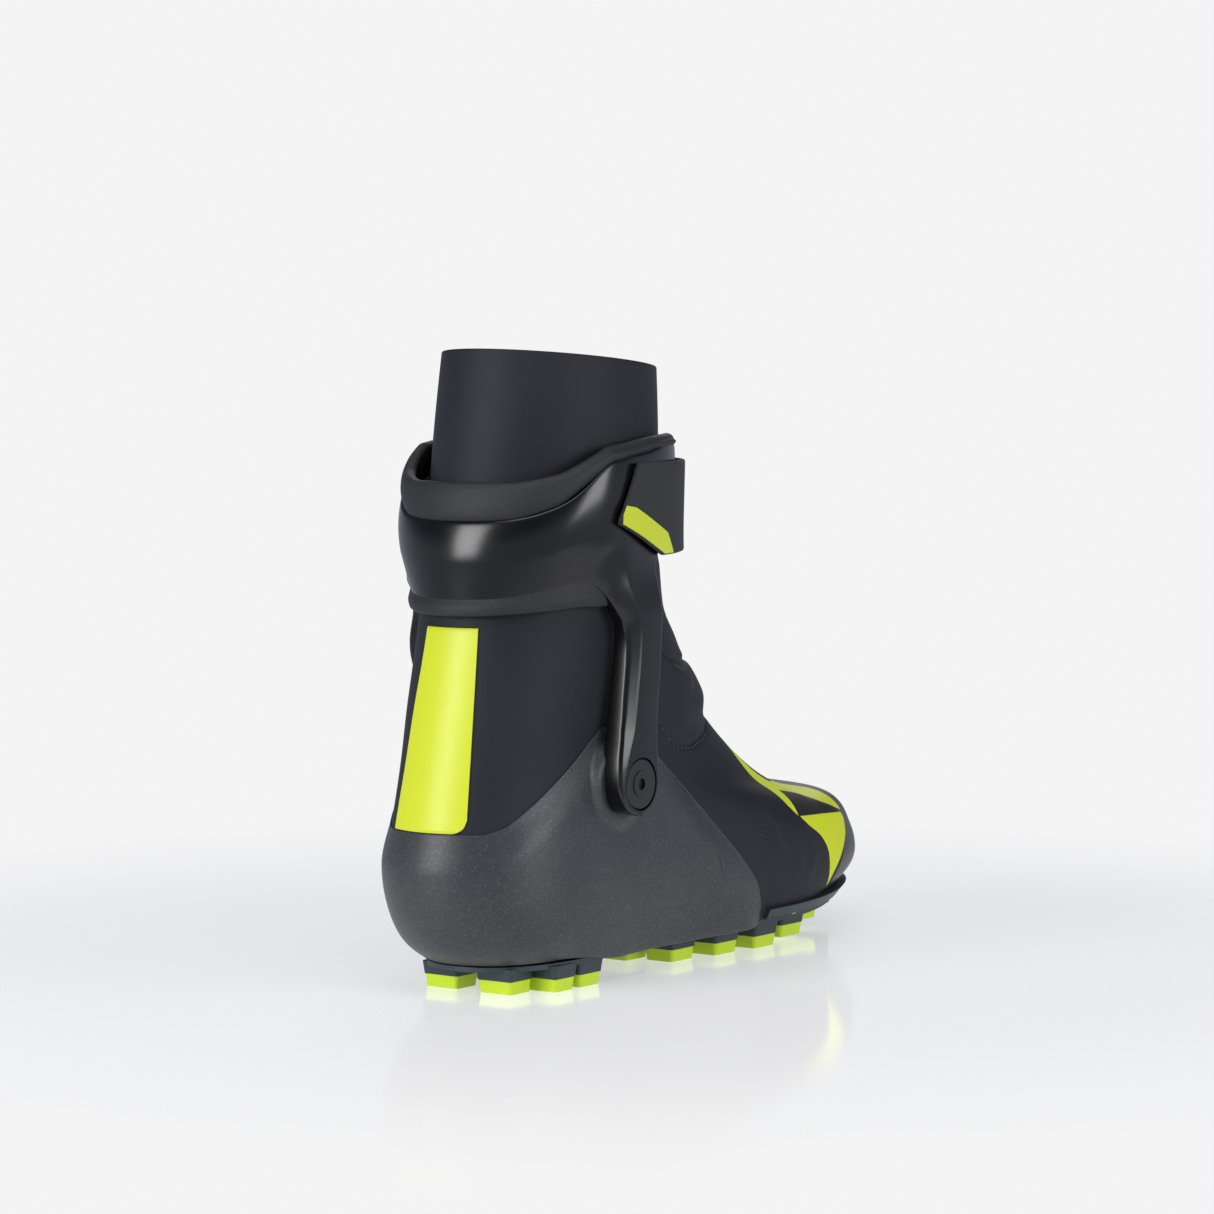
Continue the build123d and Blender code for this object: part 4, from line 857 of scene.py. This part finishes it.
w = np.linspace(0, 1, CUFF_ACROSS)[None, :]
face = cuff_face(w)
outward = normals_of(face)
outward *= np.sign(np.sum(outward * (face - (-60, 0, 0)) * (1, 1, 0), axis=2))[..., None]
outward = np.where(face[..., 2:3] < 118, np.array([0.0, -1.0, 0.0]), outward)
border, sink, wall = line[:, 6:7], line[:, 5:6], line[:, 4:5]
lean = np.clip((border - w) / border, 0, 1)
lift = smooth((along[:, None] - 110) / 40)
bulge = 1.1 * lift * np.sin(np.pi * np.clip((w - border) / (1 - border), 0, 1)) ** 0.8
crown = (1 - lift) * 0.35 * np.sin(np.pi * w)
depth = bulge + crown - sink * lean
length = np.linalg.norm(face[:, -1] - face[:, 0], axis=1)[:, None]
edge = np.minimum(1.3, 0.3 * length)


def edge_drop(distance):
    """How far a rounded edge has fallen at a distance from the wall: a quarter circle."""
    return edge * (1 - quarter(distance / np.maximum(edge, 1e-6)))


w_even = np.linspace(0, 1, CUFF_ACROSS - 10)
w_edge = np.array([0.0, 0.12, 0.3, 0.55, 0.8])
near = edge / np.maximum(length, 1e-6)
middle_columns = near + (1 - 2 * near) * w_even[None, :]
columns = np.concatenate([w_edge * near, middle_columns, 1 - (w_edge * near)[:, ::-1]], 1)


def across(table, at):
    """Reads a grid between its columns, row by row."""
    spot = np.clip(at, 0, 1) * (CUFF_ACROSS - 1)
    j = np.clip(np.floor(spot).astype(int), 0, CUFF_ACROSS - 2)
    f = spot - j
    rows = np.arange(len(table))[:, None]
    a, b = table[rows, j], table[rows, j + 1]
    f = f[..., None] if table.ndim == 3 else f
    return a * (1 - f) + b * f


outer = cuff_face(columns)
normal = across(outward, columns)
normal /= np.linalg.norm(normal, axis=2)[..., None]
sunk = across(depth, columns) - edge_drop(columns * length) - edge_drop((1 - columns) * length)
outer_skin = outer + normal * sunk[..., None]
inner_w = np.linspace(1, 0, 14)[None, :] * np.ones((CUFF_LINES, 1))
inner_skin = cuff_face(inner_w) + across(outward, inner_w) * (across(depth, inner_w) - wall)[..., None]
half = np.concatenate([outer_skin, inner_skin], 1)
mirror = half[:-1][::-1] * (1, -1, 1)
INNER_ARM_BOW = np.array([-15.0, 4.8, 0.0])  # the inner arm bows back and out halfway up
bow = np.exp(-(((mirror[..., 2] - 132) / 25) ** 2)) * smooth((mirror[..., 0] + 116) / 22)
mirror += bow[..., None] * INNER_ARM_BOW
CUFF_SHARP = 38
cuff = loops_piece("cuff_shell_gloss", np.concatenate([half, mirror], 0), smooth_angle=CUFF_SHARP)
print("cuff points:", len(cuff.data.vertices))


def bore(obj, radius, low, high):
    """Cuts a round seat on both pivots, between two distances from the middle."""
    for sign in (-1, 1):
        n = 96
        angle = np.linspace(0, 2 * np.pi, n, endpoint=False)
        ring = np.stack([PIVOT[0] + radius * np.cos(angle), 0 * angle, PIVOT[1] + radius * np.sin(angle)], 1)
        ends = np.stack([ring + (0, sign * low, 0), ring + (0, sign * high, 0)])
        faces = [list(range(n)), list(range(n, 2 * n))[::-1]] + grid_faces(2, n, wrap_n=True)[:, ::-1].tolist()
        tool = tidy_mesh(add_piece("seat_cutter", ends.reshape(-1, 3), faces, 0))
        cut = obj.modifiers.new("seat", "BOOLEAN")
        cut.operation, cut.solver, cut.object = "DIFFERENCE", "EXACT", tool
        deps = bpy.context.evaluated_depsgraph_get()
        fresh = bpy.data.meshes.new_from_object(obj.evaluated_get(deps))
        obj.modifiers.clear()
        obj.data = fresh
        bpy.data.objects.remove(tool)


SEAT_R, SEAT_FLOOR, SEAT_OUT = 10.4, 46.4, 60.0
bore(cuff, SEAT_R, SEAT_FLOOR, SEAT_OUT)
cuff.data.shade_smooth()
cuff.data.set_sharp_from_angle(angle=math.radians(CUFF_SHARP))
dress(cuff, cuff_gloss)
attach(cuff, "cuff")
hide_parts("cuff_shell")

# %% [markdown]
# ## The collar pad and the lining
# A moulded foam strip stands above the cuff's top edge, and the same foam shows as a lip below it.
# Both follow the cuff's edges, so each is a shell between two lines of the side view, with round rims.

# %% Make the foam strips
PAD_LOW = side_line((-150, 182.4), (-133, 182.4), (-121, 184), (-109, 189.5), (-98, 198), (-88, 204.2),
                    (-59, 208.7), (-33, 209.6))
PAD_HIGH = side_line((-150, 195.2), (-120, 195.2), (-108, 198.5), (-98, 203.6), (-88, 208.2), (-59, 211.6),
                     (-33, 212.6))
LIP_LOW = side_line((-150, 147.6), (-128, 147.4), (-112, 148.2), (-98, 149.4), (-86, 149.0), (-60, 150),
                    (-33, 176))
LIP_HIGH = side_line((-150, 182), (-117, 184), (-88, 196), (-59, 204), (-33, 205))


def u_at(form, x, z):
    """u on the outer side of a form where it has this x at this height."""
    return float(form.find(x, z)[0][0])


def foam_strip(name, low, high, outside, inside, front_x, front_z, finish, rows=30, ends=0.012):
    """A strip of foam round the back, from the outer front to the inner front."""
    u_end = u_at(band, front_x, front_z)
    u = np.linspace(-u_end, u_end, 260)
    low_t, high_t = band.reach(u, low), band.reach(u, high)
    close = quarter((u_end - np.abs(u)) / ends)
    middle = (low_t + high_t) / 2
    low_t = middle + (low_t - middle) * close
    high_t = middle + (high_t - middle) * close
    loops = shell_loops(band, u, low_t, high_t, outside, inside, rows, 10, 8, 0.8)
    obj = loops_piece(name, loops, smooth_angle=60)
    dress(obj, finish)
    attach(obj, "cuff")
    return obj


def pad_outside(u, s):
    """The pad's face: level with the cuff below and swelling a little in the middle."""
    return -0.3 + 0.9 * np.sin(np.pi * s) ** 0.7 + 0 * u


pad = foam_strip("collar_pad_foam", PAD_LOW, PAD_HIGH, pad_outside, -5.2, -36.0, 210.5, collar_foam)
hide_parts("cuff_collar_pad")


def lip_outside(u, s):
    """The lining's face hides behind the shell and swells where it shows below it."""
    return -3.9 + 1.1 * np.exp(-(((s - 0.06) / 0.09) ** 2)) + 0 * u


lining = foam_strip("cuff_lining_foam", LIP_LOW, LIP_HIGH, lip_outside, -5.9, -38.0, 190.0, collar_foam, 60)
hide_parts("cuff_lining")

# %% [markdown]
# ## The power strap
# Webbing with a hook and loop end. It is flat and stiff, so a shell over the band's surface is enough:
# its free end is cut on a slant, and a bright trim follows the lower edge there.

# %% Make the strap
STRAP_LOW, STRAP_TOP, STRAP_END = 168.0, 203.0, -86.0
strap_low = side_line((STRAP_END, 181.0), (STRAP_END + 33, STRAP_LOW), (60, STRAP_LOW))
strap_high = side_line((STRAP_END, 181.3), (STRAP_END + 11, STRAP_TOP), (60, STRAP_TOP))
root_u = 1 - u_at(band, -62.0, 185.0)
tab_u = u_at(band, STRAP_END + 0.3, 181.0)
tab_full = u_at(band, STRAP_END + 12, 192.0)
u_strap = np.concatenate([np.linspace(tab_u, tab_full, 30, endpoint=False), np.linspace(tab_full, root_u, 230)])


def strap_shell(name, u, low, high, outside, inside, finish, rim=0.7):
    """A layer of the strap over the band's surface, between two side-view lines and two depths."""
    loops = shell_loops(band, u, band.reach(u, low), band.reach(u, high), outside, inside, 26, 8, 4, rim)
    obj = loops_piece(name, loops, smooth_angle=50)
    dress(obj, finish)
    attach(obj, "strap")
    return obj


strap = strap_shell("power_strap_webbing", u_strap, strap_low, strap_high, 3.7, 1.5, webbing)
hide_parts("power_strap")
trim_low = side_line((STRAP_END, 180.9), (STRAP_END + 33, STRAP_LOW + 0.1), (60, STRAP_LOW + 0.1))
trim_high = side_line((STRAP_END, 182.6), (STRAP_END + 2.5, 187.6), (STRAP_END + 8, 186.8), (STRAP_END + 34, 176.2),
                      (STRAP_END + 41, STRAP_LOW + 0.3), (60, STRAP_LOW + 0.3))
u_trim = np.linspace(u_at(band, STRAP_END + 0.6, 181.5), u_at(band, STRAP_END + 40.5, STRAP_LOW + 1), 90)
trim = strap_shell("strap_trim_film", u_trim, trim_low, trim_high, 4.15, 3.74, neon_film, 0.4)
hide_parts("strap_trim")

# %% [markdown]
# ## Inside the boot
# From above one sees the fleece of the inner boot and the footbed. One shell from the footbed to below the
# rim follows the skin's shape at the ankle, and so does the padding between them round the heel.

# %% Make the lining, the heel padding and the footbed
LINER_LOW, LINER_TOP = 0.35, 9.9
u_inner = u_round[::2]
liner_loops = shell_loops(skin, u_inner, LINER_LOW, LINER_TOP, -4.2, -6.6, 90, 90, 6, 0.9)
liner = loops_piece("inner_boot_fleece", liner_loops, closed_path=True, smooth_angle=0)
dress(liner, liner_fabric)
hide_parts("inner_boot", "shaft_lining")

PADDING_LOW, PADDING_HIGH, PADDING_U = 34, 166, 0.21
u_padding = np.linspace(-PADDING_U, PADDING_U, 130)
padding_low = skin.reach(u_padding, side_line((-150, PADDING_LOW), (0, PADDING_LOW)))
padding_high = skin.reach(u_padding, side_line((-150, PADDING_HIGH), (0, PADDING_HIGH)))
padding_loops = shell_loops(skin, u_padding, padding_low, padding_high, -1.6, -3.8, 60, 30, 3, 0.8)
padding = loops_piece("heel_padding_foam", padding_loops, smooth_angle=60)
dress(padding, liner_fabric)
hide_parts("heel_padding")

BED_RIM, BED_WALL = -7.2, 3.6
bed = np.linspace(0, 1, 24)
rim_line = skin.at(u_inner, LINER_LOW + 0 * u_inner, BED_RIM + 0 * u_inner)
spine = rim_line * (1, 0, 1)
spine[:, 1] += 5.0 * smooth(rim_line[:, 0] / 130)
top = spine[:, None] + (rim_line - spine)[:, None] * bed[None, ::-1, None]
top[..., 2] += 4.6 + 2.0 * (np.abs(bed[None, ::-1]) ** 3)
bed_loops = np.concatenate([top, top[:, ::-1] - (0, 0, BED_WALL)], 1)
footbed = loops_piece("footbed_knit", bed_loops, closed_path=True, smooth_angle=0, merge=0.05)
dress(footbed, knit)
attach(footbed, "boot")
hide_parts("footbed")

# %% Bake the soft pieces' transforms into their meshes
for soft in (upper, liner, padding, label, thread):
    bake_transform(soft)

# %% [markdown]
# ## Studio
# A pale floor that fades into an equally pale surround, two low soft boxes for the highlights on the cuff, one
# above and one behind. The camera stands behind the outer side, a little above the boot.

# %% Floor, light and camera
FLOOR_GLOW, FLOOR_HALF = 0.52, 2500.0
PALE = (0.905, 0.905, 0.91, 1)
floor_points = np.array([(-1, -1, 0), (1, -1, 0), (1, 1, 0), (-1, 1, 0)]) * FLOOR_HALF
floor = add_piece("studio_floor", floor_points - (0, 0, 0.05), [[0, 1, 2, 3]], 0)
floor_finish = Finish("studio_floor", Base_Color=(0.54, 0.54, 0.545, 1), Roughness=0.10, Specular_IOR_Level=0.5)
floor_finish.set(Emission_Color=PALE, Emission_Strength=FLOOR_GLOW)
far = floor_finish.node("ShaderNodeVectorMath", {"operation": "LENGTH"}, floor_finish.place(), output=1)
floor_finish.set(Alpha=floor_finish.between(far, 0.2, 0.5, 1.0, 0.0))
dress(floor, floor_finish)

world = bpy.data.worlds.new("studio")
world.use_nodes = True
bpy.context.scene.world = world
tree = world.node_tree
back = tree.nodes["Background"]
back.inputs[0].default_value = PALE
back.inputs[1].default_value = 1.0
ambient = tree.nodes.new("ShaderNodeBackground")
ambient.inputs[0].default_value = (0.80, 0.86, 1.0, 1)
where = tree.nodes.new("ShaderNodeTexCoord")
height = tree.nodes.new("ShaderNodeSeparateXYZ")
tree.links.new(where.outputs["Generated"], height.inputs[0])
band_of_light = tree.nodes.new("ShaderNodeMapRange")
band_of_light.interpolation_type = "SMOOTHSTEP"
for socket, value in zip(("From Min", "From Max", "To Min", "To Max"), (0.0, 0.28, 0.55, 0.12)):
    band_of_light.inputs[socket].default_value = value
tree.links.new(height.outputs["Z"], band_of_light.inputs[0])
tree.links.new(band_of_light.outputs[0], ambient.inputs[1])
path = tree.nodes.new("ShaderNodeLightPath")
choose = tree.nodes.new("ShaderNodeMixShader")
tree.links.new(path.outputs["Is Camera Ray"], choose.inputs[0])
tree.links.new(ambient.outputs[0], choose.inputs[1])
tree.links.new(back.outputs[0], choose.inputs[2])
tree.links.new(choose.outputs[0], tree.nodes["World Output"].inputs[0])


def soft_box(name, azimuth, elevation, distance, width, height, power, target=(-0.03, 0, 0.12)):
    """A rectangular area light that looks at the boot from a direction round it."""
    lamp = bpy.data.lights.new(name, "AREA")
    lamp.shape, lamp.size, lamp.size_y, lamp.energy = "RECTANGLE", width, height, power
    obj = bpy.data.objects.new(name, lamp)
    a, e = math.radians(azimuth), math.radians(elevation)
    aim = Vector((math.sin(a) * math.cos(e), -math.cos(a) * math.cos(e), math.sin(e)))
    obj.location = Vector(target) + aim * distance
    obj.rotation_mode = "QUATERNION"
    obj.rotation_quaternion = aim.to_track_quat("Z", "Y")
    bpy.context.scene.collection.objects.link(obj)


soft_box("key_left", -104, 16, 1.5, 0.6, 0.9, 15)
soft_box("key_right", 6, 12, 1.5, 0.8, 0.6, 9)
soft_box("top", -50, 66, 1.6, 1.2, 1.2, 11)
soft_box("rim", 120, 30, 1.8, 1.0, 1.0, 6)

eye = Vector((-1.3656, -0.9562, 0.255))
aim_at = Vector((-0.0083, 0.0119, 0.142))
camera = bpy.data.objects.new("camera", bpy.data.cameras.new("camera"))
camera.data.lens, camera.data.sensor_width = 121.7, 36.0
camera.location = eye
camera.rotation_mode = "QUATERNION"
camera.rotation_quaternion = (aim_at - eye).to_track_quat("-Z", "Y")
bpy.context.scene.collection.objects.link(camera)
bpy.context.scene.camera = camera
bpy.context.scene.view_settings.view_transform = "Standard"
